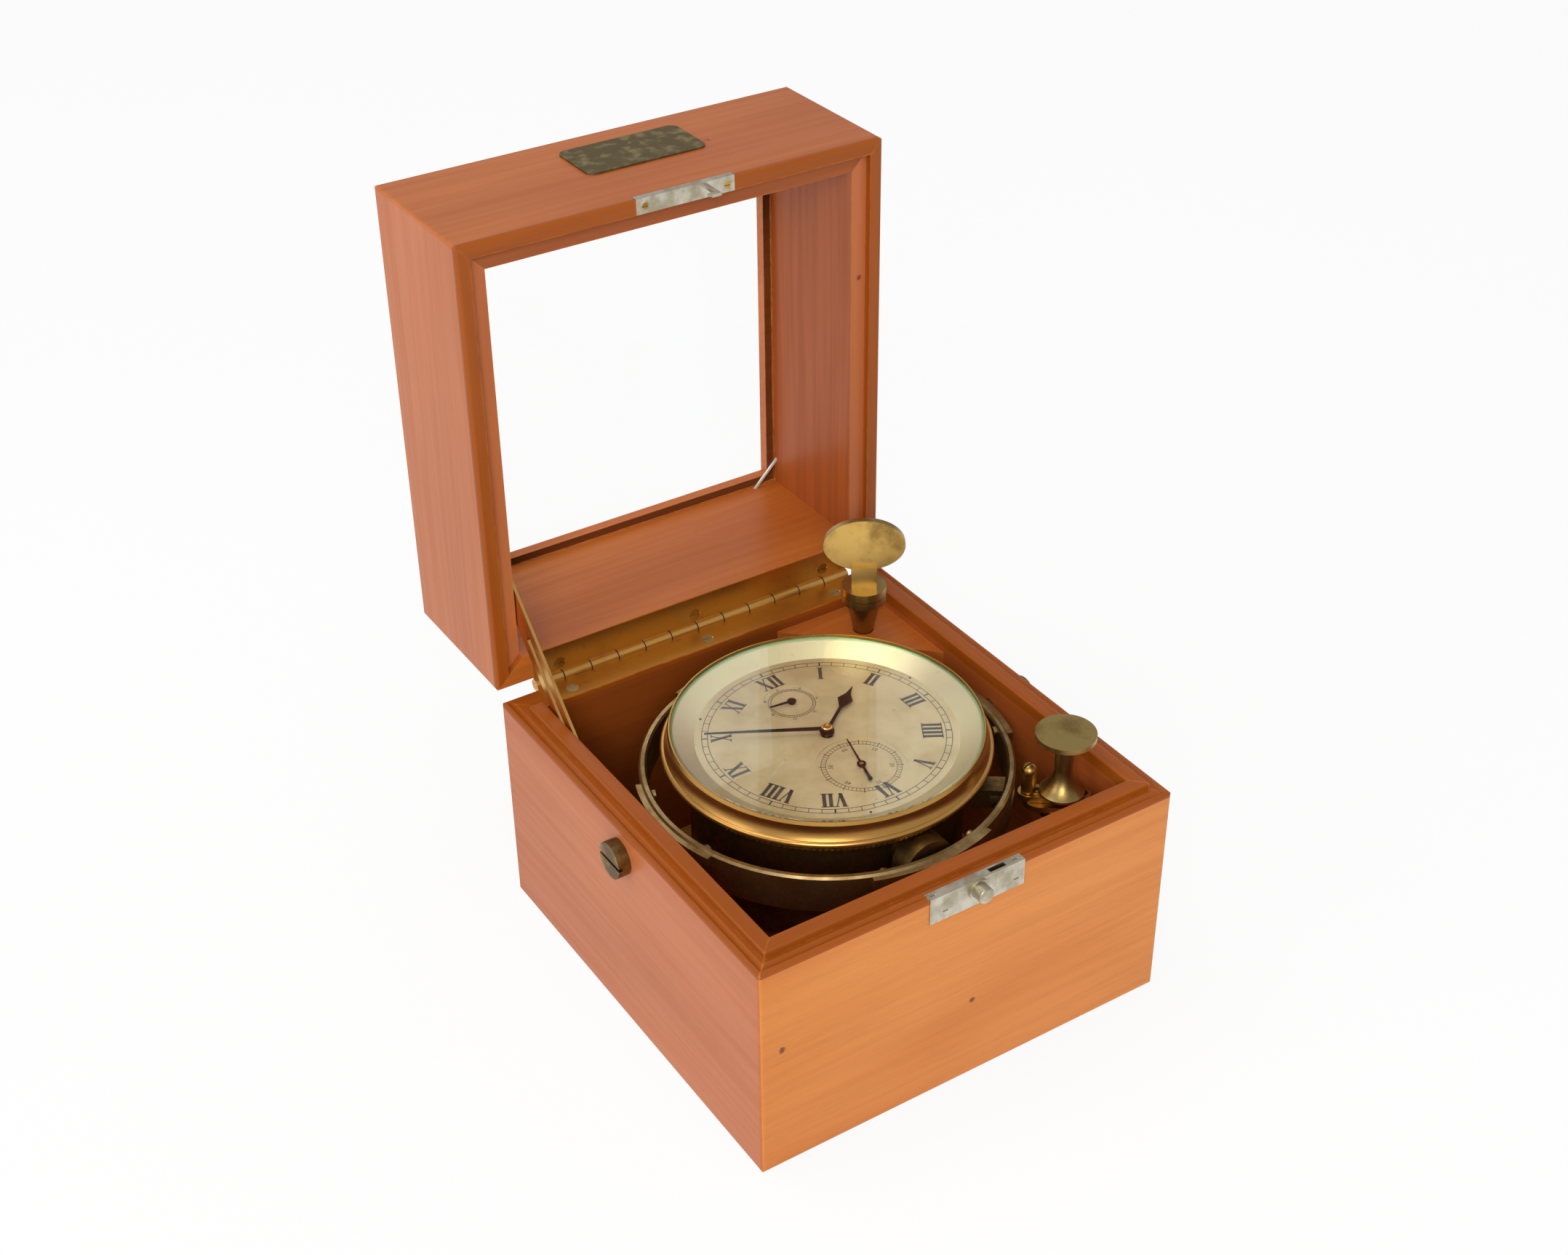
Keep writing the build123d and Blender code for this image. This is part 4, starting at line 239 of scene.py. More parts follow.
def make_wood_grain():
    """Straight grained wood; Turn brings the grain's direction to X."""
    nodes, given, output = new_group(
        "Wood grain",
        {
            "Pale": "colour",
            "Warm": "colour",
            "Deep": "colour",
            "Turn": "vector",
            "Contrast": "value",
        },
        {"Colour": "colour", "Streak": "value", "Height": "value"},
    )
    deep, contrast = given["Deep"], given["Contrast"]
    mapping = {"Vector": nodes.place(), "Rotation": given["Turn"]}
    turned = nodes.add("ShaderNodeMapping", mapping).outputs[0]
    cloud = nodes.streaks(turned, (5.0, 22.0, 22.0), detail=2.0)
    drift = nodes.spread(cloud, low=-0.006, high=0.006)
    sideways = nodes.add("ShaderNodeCombineXYZ", {"Y": drift}).outputs[0]
    bent = nodes.vector_math("ADD", turned, sideways)
    figure = nodes.streaks(bent, (9.0, 320.0, 320.0), detail=4.0, roughness=0.55)
    fibre = nodes.streaks(bent, (40.0, 1300.0, 1300.0), detail=3.0, roughness=0.6)
    pores = nodes.streaks(turned, (160.0, 3600.0, 3600.0), detail=1.0)
    pore_mask = nodes.band(pores, low=0.62, high=0.72)
    streak = nodes.band(figure, low=0.35, high=0.68)
    base = nodes.mix(nodes.band(cloud, low=0.3, high=0.7), given["Warm"], given["Pale"])
    figured = nodes.mix(nodes.math("MULTIPLY", streak, contrast, clamp=True), base, deep)
    fine_contrast = nodes.math("MULTIPLY", contrast, FIBRE_SHARE)
    fine = nodes.math("MULTIPLY", nodes.band(fibre, low=0.45, high=0.75), fine_contrast)
    fibred = nodes.mix(fine, figured, deep)
    pored = nodes.mix(nodes.math("MULTIPLY", pore_mask, contrast), fibred, deep)
    ridges = nodes.math("MULTIPLY", fibre, FIBRE_RELIEF)
    height = nodes.math("SUBTRACT", ridges, nodes.math("MULTIPLY", pore_mask, PORE_RELIEF))
    return finish_group(nodes, output, {"Colour": pored, "Streak": streak, "Height": height})


def make_edge_wear():
    """Mask of the rubbed edges, broken up by a noise."""
    nodes, given, output = new_group(
        "Edge wear", {"Width": "value", "Amount": "value"}, {"Mask": "value"}
    )
    bevel = nodes.add("ShaderNodeBevel", {"Radius": given["Width"]}, samples=4)
    normal = nodes.add("ShaderNodeNewGeometry").outputs["Normal"]
    alike = nodes.vector_math("DOT_PRODUCT", bevel.outputs[0], normal)
    edge = nodes.band(nodes.math("SUBTRACT", 1.0, alike), low=0.01, high=0.16)
    patches = nodes.noise(nodes.place(), scale=130.0, detail=4.0, roughness=0.6)
    broken = nodes.math("MULTIPLY", edge, nodes.band(patches, low=0.35, high=0.65))
    mask = nodes.math("MULTIPLY", broken, given["Amount"], clamp=True)
    return finish_group(nodes, output, {"Mask": mask})


def make_dents():
    """Few small dents: a mask that is 1 in each of them."""
    nodes, given, output = new_group(
        "Dents", {"Scale": "value", "Share": "value"}, {"Mask": "value"}
    )
    place = nodes.place()
    wobble = nodes.spread(nodes.noise(place, scale=700.0, detail=2.0), low=-0.05, high=0.05)
    cells = nodes.add("ShaderNodeTexVoronoi", {"Vector": place, "Scale": given["Scale"]}).outputs
    distance = nodes.math("ADD", cells["Distance"], wobble)
    spot = nodes.math("SUBTRACT", 1.0, nodes.band(distance, low=0.05, high=0.11))
    pick = nodes.add("ShaderNodeSeparateColor", {"Color": cells["Color"]}).outputs[0]
    chosen = nodes.math("LESS_THAN", pick, given["Share"])
    return finish_group(nodes, output, {"Mask": nodes.math("MULTIPLY", spot, chosen)})


def make_inner_side():
    """Masks of the faces that look into the box and of the mouldings where base and lid meet."""
    nodes, given, output = new_group(
        "Inner side",
        {"Across": "vector", "Meeting": "vector", "Level": "value"},
        {"Mask": "value", "Moulding": "value"},
    )
    coordinates = nodes.add("ShaderNodeTexCoord").outputs
    place = coordinates["Object"]
    side = nodes.vector_math("DOT_PRODUCT", place, given["Across"])
    facing = nodes.vector_math("DOT_PRODUCT", coordinates["Normal"], given["Across"])
    outwards = nodes.math("MULTIPLY", nodes.math("SIGN", side), facing)
    mask = nodes.math("SUBTRACT", 1.0, nodes.band(outwards, low=-0.8, high=-0.4))
    height = nodes.vector_math("DOT_PRODUCT", place, given["Meeting"])
    half_band = 0.2 * MM
    below = nodes.math("SUBTRACT", given["Level"], half_band)
    above = nodes.math("ADD", given["Level"], half_band)
    moulding = nodes.band(height, below, above)
    return finish_group(nodes, output, {"Mask": mask, "Moulding": moulding})


def make_tarnish():
    """Aged metal: clean, tarnished and spotted places, with the roughness of each."""
    nodes, given, output = new_group(
        "Tarnish",
        {
            "Clean": "colour",
            "Tarnished": "colour",
            "Spots": "colour",
            "Patch scale": "value",
            "Tarnish": "value",
            "Gloss": "value",
        },
        {"Colour": "colour", "Roughness": "value", "Height": "value"},
    )
    place = nodes.place()
    scale, tarnish = given["Patch scale"], given["Tarnish"]
    patches = nodes.noise(place, scale, detail=5.0, roughness=0.62)
    low = nodes.math("SUBTRACT", PATCH_LEVEL, tarnish)
    patch_mask = nodes.band(patches, low, nodes.math("ADD", low, PATCH_BAND))
    fine_scale = nodes.math("MULTIPLY", scale, SPOT_FINENESS)
    fine = nodes.noise(place, fine_scale, detail=3.0, roughness=0.6)
    spots = nodes.band(fine, low=0.64, high=0.74)
    scratches = nodes.streaks(place, (900.0, 120.0, 900.0), detail=3.0, roughness=0.65)
    toned = nodes.mix(patch_mask, given["Clean"], given["Tarnished"])
    spotted = nodes.mix(nodes.math("MULTIPLY", spots, tarnish), toned, given["Spots"])
    dull = nodes.math("MULTIPLY", patch_mask, PATCH_DULLNESS)
    scratched = nodes.band(scratches, low=0.5, high=0.8)
    scuffed = nodes.math("MULTIPLY", scratched, SCRATCH_DULLNESS)
    added = nodes.math("ADD", dull, scuffed)
    roughness = nodes.math("ADD", given["Gloss"], added, clamp=True)
    relief = nodes.math("MULTIPLY", scratches, 0.5)
    height = nodes.math("ADD", relief, nodes.math("MULTIPLY", patches, 0.5))
    return finish_group(
        nodes, output, {"Colour": spotted, "Roughness": roughness, "Height": height}
    )


def new_material(name):
    """Material with a Principled shader; returns it, its nodes, the shader and its output node."""
    material = bpy.data.materials.new(name)
    material.use_nodes = True
    material.node_tree.nodes.clear()
    nodes = Nodes(material.node_tree)
    shader = nodes.add("ShaderNodeBsdfPrincipled")
    surface = nodes.add("ShaderNodeOutputMaterial", {"Surface": shader.outputs[0]})
    return material, nodes, shader, surface


def srgb(red, green, blue):
    """Linear colour of an sRGB one given from 0 to 255."""
    linear = []
    for part in (red, green, blue):
        part = part / 255
        linear.append(part / 12.92 if part <= 0.04045 else ((part + 0.055) / 1.055) ** 2.4)
    return (*linear, 1.0)


RIM_TONE = srgb(157, 78, 15)
RIM_STREAK = srgb(110, 54, 18)
INNER_STREAK = srgb(96, 44, 18)
WOOD_DENT = srgb(88, 44, 24)
SILVER_DENT = srgb(140, 118, 78)


def make_varnished_wood(name, groups, tones, turn, contrast, across, meeting, dents):
    """Varnished wood with rubbed edges and small dents; tones are pale, warm, deep, worn and inner.

    Across runs through the board's thickness. The meeting is a direction and a level: beyond it
    lie the mouldings of the rim, which have a tone of their own. Dents is the share of noise cells
    that hold one.
    """
    material, nodes, shader, _ = new_material("varnished wood, " + name)
    pale, warm, deep, worn, inner = (srgb(*tone) for tone in tones)
    direction, level = meeting
    grain = nodes.group(
        groups["grain"],
        {"Pale": pale, "Warm": warm, "Deep": deep, "Turn": turn, "Contrast": contrast},
    )
    sides = nodes.group(
        groups["inner"], {"Across": across, "Meeting": direction, "Level": level}
    )
    wear = {"Width": WOOD_EDGE_WIDTH * MM, "Amount": WOOD_WEAR_SHARE}
    edge = nodes.group(groups["edge"], wear)["Mask"]
    dent = nodes.group(groups["dents"], {"Scale": 60.0, "Share": dents})["Mask"]
    shade = nodes.math("MULTIPLY", grain["Streak"], STREAK_SHARE)
    inside = nodes.mix(shade, inner, INNER_STREAK)
    rim = nodes.mix(shade, RIM_TONE, RIM_STREAK)
    base = nodes.mix(sides["Mask"], grain["Colour"], inside)
    base = nodes.mix(sides["Moulding"], base, rim)
    rubbed = nodes.mix(edge, base, worn)
    dented = nodes.mix(nodes.math("MULTIPLY", dent, WOOD_DENT_SHARE), rubbed, WOOD_DENT)
    gloss = nodes.spread(grain["Streak"], low=0.36, high=0.44)
    dull = nodes.math("MULTIPLY", edge, WEAR_DULLNESS)
    hollow = nodes.math("MULTIPLY", dent, DENT_RELIEF)
    height = nodes.math("SUBTRACT", grain["Height"], hollow)
    nodes.feed(
        shader,
        {
            "Base Color": dented,
            "Roughness": nodes.math("ADD", gloss, dull),
            "Specular IOR Level": 0.22,
            "Normal": nodes.bump(height, strength=0.2, distance=0.15 * MM),
            "Coat Weight": 0.05,
            "Coat Roughness": 0.15,
        },
    )
    return material


def make_metal(name, groups, tones, patch_scale, tarnish, gloss, relief=0.08):
    """Aged metal; tones are clean, tarnished and spotted, the relief is in millimetres."""
    material, nodes, shader, _ = new_material(name)
    clean, tarnished, spots = (srgb(*tone) for tone in tones)
    aged = nodes.group(
        groups["tarnish"],
        {
            "Clean": clean,
            "Tarnished": tarnished,
            "Spots": spots,
            "Patch scale": patch_scale,
            "Tarnish": tarnish,
            "Gloss": gloss,
        },
    )
    wear = {"Width": METAL_EDGE_WIDTH * MM, "Amount": METAL_WEAR_SHARE}
    edge = nodes.group(groups["edge"], wear)["Mask"]
    nodes.feed(
        shader,
        {
            "Base Color": nodes.mix(edge, aged["Colour"], clean),
            "Metallic": 1.0,
            "Roughness": aged["Roughness"],
            "Normal": nodes.bump(aged["Height"], strength=0.3, distance=relief * MM),
        },
    )
    return material


def make_clear_glass(name, tint, edge_tint, edge_radius, bending):
    """Clear glass that casts no shadow, with another tint beyond the edge radius (millimetres)."""
    material, nodes, shader, surface = new_material(name)
    flat = nodes.vector_math("MULTIPLY", nodes.place(), (1.0, 1.0, 0.0))
    length = nodes.add("ShaderNodeVectorMath", {0: flat}, operation="LENGTH")
    edge, half_band = edge_radius * MM, 0.1 * MM
    rim = nodes.band(length.outputs["Value"], edge - half_band, edge + half_band)
    nodes.feed(
        shader,
        {
            "Base Color": nodes.mix(rim, tint, edge_tint),
            "Roughness": 0.02,
            "IOR": bending,
            "Transmission Weight": 1.0,
        },
    )
    shadow = nodes.add("ShaderNodeLightPath").outputs["Is Shadow Ray"]
    through = nodes.add("ShaderNodeBsdfTransparent")
    parts = {0: shadow, 1: shader.outputs[0], 2: through.outputs[0]}
    mixed = nodes.add("ShaderNodeMixShader", parts)
    nodes.feed(surface, {"Surface": mixed.outputs[0]})
    return material


def make_silvered(name, groups, clean, aged, gloss):
    """Frosted silver with a warm bloom of age."""
    material, nodes, shader, _ = new_material(name)
    place = nodes.place()
    clouds = nodes.noise(place, scale=38.0, detail=5.0, roughness=0.6)
    bloom = nodes.band(clouds, low=0.35, high=0.72)
    frost = nodes.noise(place, scale=3000.0, detail=2.0)
    dent = nodes.group(groups["dents"], {"Scale": 130.0, "Share": 0.1})["Mask"]
    toned = nodes.mix(bloom, clean, aged)
    dented = nodes.mix(nodes.math("MULTIPLY", dent, SILVER_DENT_SHARE), toned, SILVER_DENT)
    nodes.feed(
        shader,
        {
            "Base Color": dented,
            "Metallic": 0.45,
            "Roughness": nodes.spread(bloom, gloss, gloss + BLOOM_DULLNESS),
            "Normal": nodes.bump(frost, strength=0.15, distance=0.02 * MM),
        },
    )
    return material


def make_ink(name, colour, faded):
    """Dial ink, faded in places."""
    material, nodes, shader, _ = new_material(name)
    clouds = nodes.noise(nodes.place(), scale=160.0, detail=4.0, roughness=0.6)
    fade = nodes.band(clouds, low=0.4, high=0.75)
    nodes.feed(shader, {"Base Color": nodes.mix(fade, colour, faded), "Roughness": 0.55})
    return material


def make_floor_material():
    """White floor that keeps the object's shadow and shows white to the camera."""
    material, nodes, shader, surface = new_material("white floor")
    nodes.feed(shader, {"Base Color": FLOOR_GREY, "Roughness": 0.9})
    glow = nodes.add("ShaderNodeEmission", {"Color": WHITE, "Strength": 1.0})
    seen = nodes.add("ShaderNodeLightPath").outputs
    white = nodes.math("MAXIMUM", seen["Is Camera Ray"], seen["Is Glossy Ray"])
    white = nodes.math("MAXIMUM", white, seen["Is Transmission Ray"])
    share = nodes.math("MULTIPLY", white, FLOOR_WHITE_SHARE)
    parts = {0: share, 1: shader.outputs[0], 2: glow.outputs[0]}
    mixed = nodes.add("ShaderNodeMixShader", parts)
    nodes.feed(surface, {"Surface": mixed.outputs[0]})
    return material


# Mesh building


def link_object(name, content):
    """Object of a mesh, curve, lamp or camera, linked to the scene."""
    linked = bpy.data.objects.new(name, content)
    bpy.context.scene.collection.objects.link(linked)
    return linked


def add_piece(name, body, mesh):
    """Makes an object of a mesh and lets it ride on a body."""
    piece = link_object(name, mesh)
    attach(piece, body)


def mesh_piece(name, body, material, bm):
    """Makes a piece of a bmesh and frees it."""
    mesh = bpy.data.meshes.new(name)
    bmesh.ops.recalc_face_normals(bm, faces=bm.faces)
    bm.to_mesh(mesh)
    bm.free()
    mesh.materials.append(material)
    add_piece(name, body, mesh)


def evaluated_mesh(carrier):
    """Plain mesh of an object's evaluated shape; the object is removed."""
    shape = carrier.evaluated_get(bpy.context.evaluated_depsgraph_get())
    mesh = bpy.data.meshes.new_from_object(shape)
    bpy.data.objects.remove(carrier)
    return mesh


def prism(bm, corners, low, high):
    """Upright prism over a flat outline, millimetres."""
    bottom = [bm.verts.new((x * MM, y * MM, low * MM)) for x, y in corners]
    top = [bm.verts.new((x * MM, y * MM, high * MM)) for x, y in corners]
    bm.faces.new(top)
    bm.faces.new(reversed(bottom))
    count = len(corners)
    for index in range(count):
        following = (index + 1) % count
        bm.faces.new((bottom[index], bottom[following], top[following], top[index]))


def lathe(bm, profile, segments, centre=(0.0, 0.0)):
    """Solid turned about an upright axis; the profile is a closed list of radius and height."""
    rows = []
    for step in range(segments):
        angle = 2 * math.pi * step / segments
        row = []
        for radius, height in profile:
            x = centre[0] + radius * math.cos(angle)
            y = centre[1] + radius * math.sin(angle)
            row.append(bm.verts.new((x * MM, y * MM, height * MM)))
        rows.append(row)
    count = len(profile)
    for step in range(segments):
        here, there = rows[step], rows[(step + 1) % segments]
        for index in range(count):
            following = (index + 1) % count
            bm.faces.new((here[index], there[index], there[following], here[following]))


def printed_circle(bm, radius, width, level, centre=(0.0, 0.0)):
    """Thin ring of ink that lies on a level."""
    inner, outer, top = radius - width / 2, radius + width / 2, level + INK
    profile = ((inner, level), (outer, level), (outer, top), (inner, top))
    lathe(bm, profile, segments=128, centre=centre)


def slanted(bottom_x, top_x, width, low, high):
    """Corners of a stroke that leans from one x at its foot to another at its head."""
    return [
        (bottom_x - width / 2, low),
        (bottom_x + width / 2, low),
        (top_x + width / 2, high),
        (top_x - width / 2, high),
    ]


def serif(middle, level, share=1.0):
    """Corners of a serif; its share is that of the longest serif's length."""
    length = share * SERIF_LENGTH
    return slanted(middle, middle, length, level, level + SERIF_HEIGHT)


def letter_strokes(letter, left):
    """Outlines of one Roman letter that starts at left."""
    advance = NUMERAL_ADVANCE[letter]
    middle = left + advance / 2
    head = NUMERAL_HEIGHT - SERIF_HEIGHT
    if letter == "I":
        upright = slanted(middle, middle, THICK_STROKE, 0, NUMERAL_HEIGHT)
        return [upright, serif(middle, 0), serif(middle, head)]
    spread = advance / 2 - LETTER_MARGIN
    west, east = middle - spread, middle + spread
    strokes = [serif(west, head, LONG_SERIF_SHARE), serif(east, head, SHORT_SERIF_SHARE)]
    if letter == "V":
        strokes.append(slanted(middle, west, THICK_STROKE, 0, NUMERAL_HEIGHT))
        strokes.append(slanted(middle, east, THIN_STROKE, 0, NUMERAL_HEIGHT))
        return strokes
    strokes.append(slanted(east, west, THICK_STROKE, 0, NUMERAL_HEIGHT))
    strokes.append(slanted(west, east, THIN_STROKE, 0, NUMERAL_HEIGHT))
    strokes.append(serif(west, 0, SHORT_SERIF_SHARE))
    strokes.append(serif(east, 0, LONG_SERIF_SHARE))
    return strokes


def in_seconds_dial(corners):
    """Whether a whole stroke lies where the seconds dial is sunk."""
    return all(math.dist(corner, SECONDS_CENTRE) < SECONDS_CLEARING for corner in corners)


def roman_numeral(bm, text, clock_angle):
    """Prints a numeral with its foot towards the dial's centre."""
    width = sum(NUMERAL_ADVANCE[letter] for letter in text)
    azimuth = math.radians(90 - clock_angle)
    outwards = Vector((math.cos(azimuth), math.sin(azimuth)))
    rightwards = Vector((outwards.y, -outwards.x))
    left = -width / 2
    for letter in text:
        for stroke in letter_strokes(letter, left):
            corners = []
            for across, along in stroke:
                point = rightwards * across + outwards * (NUMERAL_INNER + along)
                corners.append((point.x, point.y))
            if text == CUT_NUMERAL and in_seconds_dial(corners):
                continue
            prism(bm, corners, DIAL_TOP, DIAL_TOP + INK)
        left += NUMERAL_ADVANCE[letter]


def make_marks_tree():
    """Geometry Nodes tree that sets equal bars around a circle."""
    tree = bpy.data.node_groups.new("Marks around a circle", "GeometryNodeTree")
    for name, kind in (
        ("Geometry", "Geometry"),
        ("Count", "Int"),
        ("Radius", "Float"),
        ("Bar", "Vector"),
        ("Centre", "Vector"),
        ("Material", "Material"),
    ):
        tree.interface.new_socket(name, in_out="INPUT", socket_type="NodeSocket" + kind)
    tree.interface.new_socket("Geometry", in_out="OUTPUT", socket_type="NodeSocketGeometry")
    nodes = Nodes(tree)
    given = nodes.add("NodeGroupInput").outputs
    centre = given["Centre"]
    circle = nodes.add(
        "GeometryNodeMeshCircle", {"Vertices": given["Count"], "Radius": given["Radius"]}
    )
    placed = nodes.add(
        "GeometryNodeTransform", {"Geometry": circle.outputs[0], "Translation": centre}
    )
    position = nodes.add("GeometryNodeInputPosition").outputs[0]
    outwards = nodes.vector_math("SUBTRACT", position, centre)
    facing = nodes.add("FunctionNodeAlignRotationToVector", {"Vector": outwards}, axis="X")
    bar = nodes.add("GeometryNodeMeshCube", {"Size": given["Bar"]})
    bars = nodes.add(
        "GeometryNodeInstanceOnPoints",
        {"Points": placed.outputs[0], "Instance": bar.outputs[0], "Rotation": facing.outputs[0]},
    )
    solid = nodes.add("GeometryNodeRealizeInstances", {0: bars.outputs[0]})
    dressed = nodes.add(
        "GeometryNodeSetMaterial",
        {"Geometry": solid.outputs[0], "Material": given["Material"]},
    )
    nodes.add("NodeGroupOutput", {0: dressed.outputs[0]})
    return tree


def marks_around(tree, name, material, count, radius, bar, centre):
    """Bars around a circle on the bowl; a bar is its length outwards, width and height."""
    carrier_name = name + "_carrier"
    carrier = link_object(carrier_name, bpy.data.meshes.new(carrier_name))
    modifier = carrier.modifiers.new("marks", "NODES")
    modifier.node_group = tree
    values = {
        "Count": count,
        "Radius": radius * MM,
        "Bar": [size * MM for size in bar],
        "Centre": [size * MM for size in centre],
        "Material": material,
    }
    for item in tree.interface.items_tree:
        if item.in_out == "INPUT" and item.name in values:
            modifier[item.identifier] = values[item.name]
    mesh = evaluated_mesh(carrier)
    mesh.name = name
    mesh.materials.clear()
    mesh.materials.append(material)
    add_piece(name, "bowl", mesh)


def small_figures(name, figures, centre, level, material):
    """Small figures around a subdial, each with its foot towards the subdial's centre."""
    labels, step, radius, size = figures
    bm = bmesh.new()
    for index, label in enumerate(labels):
        curve = bpy.data.curves.new(name, "FONT")
        curve.body = label
        curve.size = size * MM
        curve.align_x = "CENTER"
        curve.align_y = "CENTER"
        curve.extrude = INK / 2 * MM
        curve.resolution_u = 2
        carrier = link_object(name, curve)
        bpy.context.view_layer.update()
        flat = evaluated_mesh(carrier)
        clock_angle = index * step
        azimuth = math.radians(90 - clock_angle)
        x = (centre[0] + radius * math.cos(azimuth)) * MM
        y = (centre[1] + radius * math.sin(azimuth)) * MM
        turn = Matrix.Rotation(math.radians(-clock_angle), 4, "Z")
        flat.transform(Matrix.Translation((x, y, (level + INK / 2) * MM)) @ turn)
        bm.from_mesh(flat)
    mesh_piece(name, "bowl", material, bm)


# Materials


def make_woods(groups):
    """Varnished woods by name: tones in sRGB, turn of the grain, contrast, across, meeting, dents."""
    along_x = (0.0, 0.0, 0.0)
    along_y = (0.0, 0.0, math.radians(90))
    along_z = (0.0, math.radians(90), 0.0)
    salmon = ((190, 110, 63), (178, 98, 52), (144, 72, 38), (204, 124, 62), (176, 90, 38))
    orange = ((220, 140, 70), (208, 124, 54), (160, 86, 34), (226, 146, 70), (146, 72, 22))
    brown = ((187, 106, 54), (171, 91, 44), (128, 62, 30), (202, 124, 62), (160, 84, 38))
    amber = ((198, 112, 44), (180, 94, 32), (138, 64, 20), (214, 138, 62), (188, 102, 36))
    base_rim = ((0.0, 0.0, 1.0), BASE_RIM_LEVEL * MM)
    lid_rim = ((0.0, -1.0, 0.0), -LID_RIM_DEPTH * MM)
    nowhere = ((0.0, 0.0, 0.0), 1.0)
    woods = {
        "base sides": (salmon, along_y, 0.12, SIDE_TO_SIDE, base_rim, 0.05),
        "base front": (orange, along_x, 0.15, FRONT_TO_BACK, base_rim, 0.16),
        "lid sides": (salmon, along_z, 0.12, SIDE_TO_SIDE, lid_rim, 0.05),
        "lid front": (brown, along_x, 0.14, FRONT_TO_BACK, lid_rim, 0.2),
        "inside": (amber, along_x, 0.2, FRONT_TO_BACK, nowhere, 0.02),
    }
    return {name: make_varnished_wood(name, groups, *looks) for name, looks in woods.items()}


def make_metals(groups):
    """Aged metals by name: tones in sRGB, patch scale, tarnish, gloss and, if needed, relief."""
    brass = ((196, 156, 84), (138, 100, 48), (74, 50, 26))
    dark_brass = ((160, 128, 74), (104, 80, 44), (58, 44, 28))
    olive_brass = ((168, 142, 86), (124, 98, 54), (72, 56, 34))
    satin_brass = ((200, 152, 82), (150, 106, 54), (90, 62, 32))
    hinge_brass = ((214, 164, 88), (170, 118, 58), (96, 62, 30))
    rubbed_brass = ((222, 184, 112), (184, 142, 76), (120, 86, 44))
    nickel = ((212, 206, 190), (176, 166, 142), (96, 84, 62))
    corroded = ((166, 150, 104), (112, 98, 66), (68, 58, 40))
    gimbal = ((186, 160, 112), (138, 108, 66), (80, 58, 34))
    silver = ((222, 210, 172), (204, 188, 146), (150, 130, 92))
    blued = ((34, 34, 46), (26, 22, 24), (60, 44, 34))
    steel = ((150, 150, 150), (110, 108, 104), (80, 74, 66))
    metals = {
        "aged brass": (brass, 60.0, 0.4, 0.26),
        "dark aged brass": (dark_brass, 90.0, 0.45, 0.3),
        "rubbed hinge brass": (hinge_brass, 24.0, 0.22, 0.3),
        "olive brass": (olive_brass, 60.0, 0.26, 0.34),
        "satin brass": (satin_brass, 26.0, 0.16, 0.28),
        "rubbed brass": (rubbed_brass, 50.0, 0.3, 0.24),
        "worn nickel": (nickel, 110.0, 0.42, 0.3),
        "corroded plate": (corroded, 160.0, 0.5, 0.42, 0.3),
        "gimbal metal": (gimbal, 60.0, 0.4, 0.3),
        "turned silver": (silver, 30.0, 0.2, 0.34),
        "blued steel": (blued, 200.0, 0.3, 0.3),
        "steel": (steel, 90.0, 0.2, 0.3),
    }
    return {name: make_metal(name, groups, *looks) for name, looks in metals.items()}


def dress_nodes(nodes_by_name, finishes):
    """Gives each CAD node its finish; finishes are pairs of a material and node names."""
    for material, names in finishes:
        for name in names:
            mesh = nodes_by_name[name].data
            mesh.materials.clear()
            mesh.materials.append(material)


# Dial figures and small details


def print_dial(tree, ink):
    """Numerals, tracks, bars and figures of the dial and its two subdials."""
    subdial_level = DIAL_TOP - SUBDIAL_SINK
    numerals = bmesh.new()
    for hour, numeral in enumerate(HOUR_NUMERALS):
        roman_numeral(numerals, numeral, 30 * hour)
    mesh_piece("hour_numerals", "bowl", ink, numerals)

    circles = bmesh.new()
    for radius in (MINUTE_TRACK, MINUTE_TRACK + TRACK_WIDTH):
        printed_circle(circles, radius, TRACK_LINE, DIAL_TOP)
    for middle, radii in ((SECONDS_CENTRE, SECONDS_RINGS), (POWER_CENTRE, POWER_RINGS)):
        for radius in radii:
            printed_circle(circles, radius, SUBDIAL_LINE, subdial_level, middle)
    mesh_piece("track_circles", "bowl", ink, circles)

    dial_centre = (0.0, 0.0, DIAL_TOP + INK / 2)
    seconds_centre = (*SECONDS_CENTRE, subdial_level + INK / 2)
    power_centre = (*POWER_CENTRE, subdial_level + INK / 2)
    for name, marks, centre in (
        ("minute_marks", MINUTE_MARKS, dial_centre),
        ("five_minute_marks", FIVE_MINUTE_MARKS, dial_centre),
        ("seconds_marks", SECONDS_MARKS, seconds_centre),
        ("ten_second_marks", FIVE_SECOND_MARKS, seconds_centre),
        ("power_marks", POWER_MARKS, power_centre),
    ):
        count, radius, length, width = marks
        bar = (length, width, INK)
        marks_around(tree, name, ink, count, radius, bar, centre)

    small_figures("seconds_figures", SECONDS_FIGURES, SECONDS_CENTRE, subdial_level, ink)
    small_figures("power_figures", POWER_FIGURES, POWER_CENTRE, subdial_level, ink)


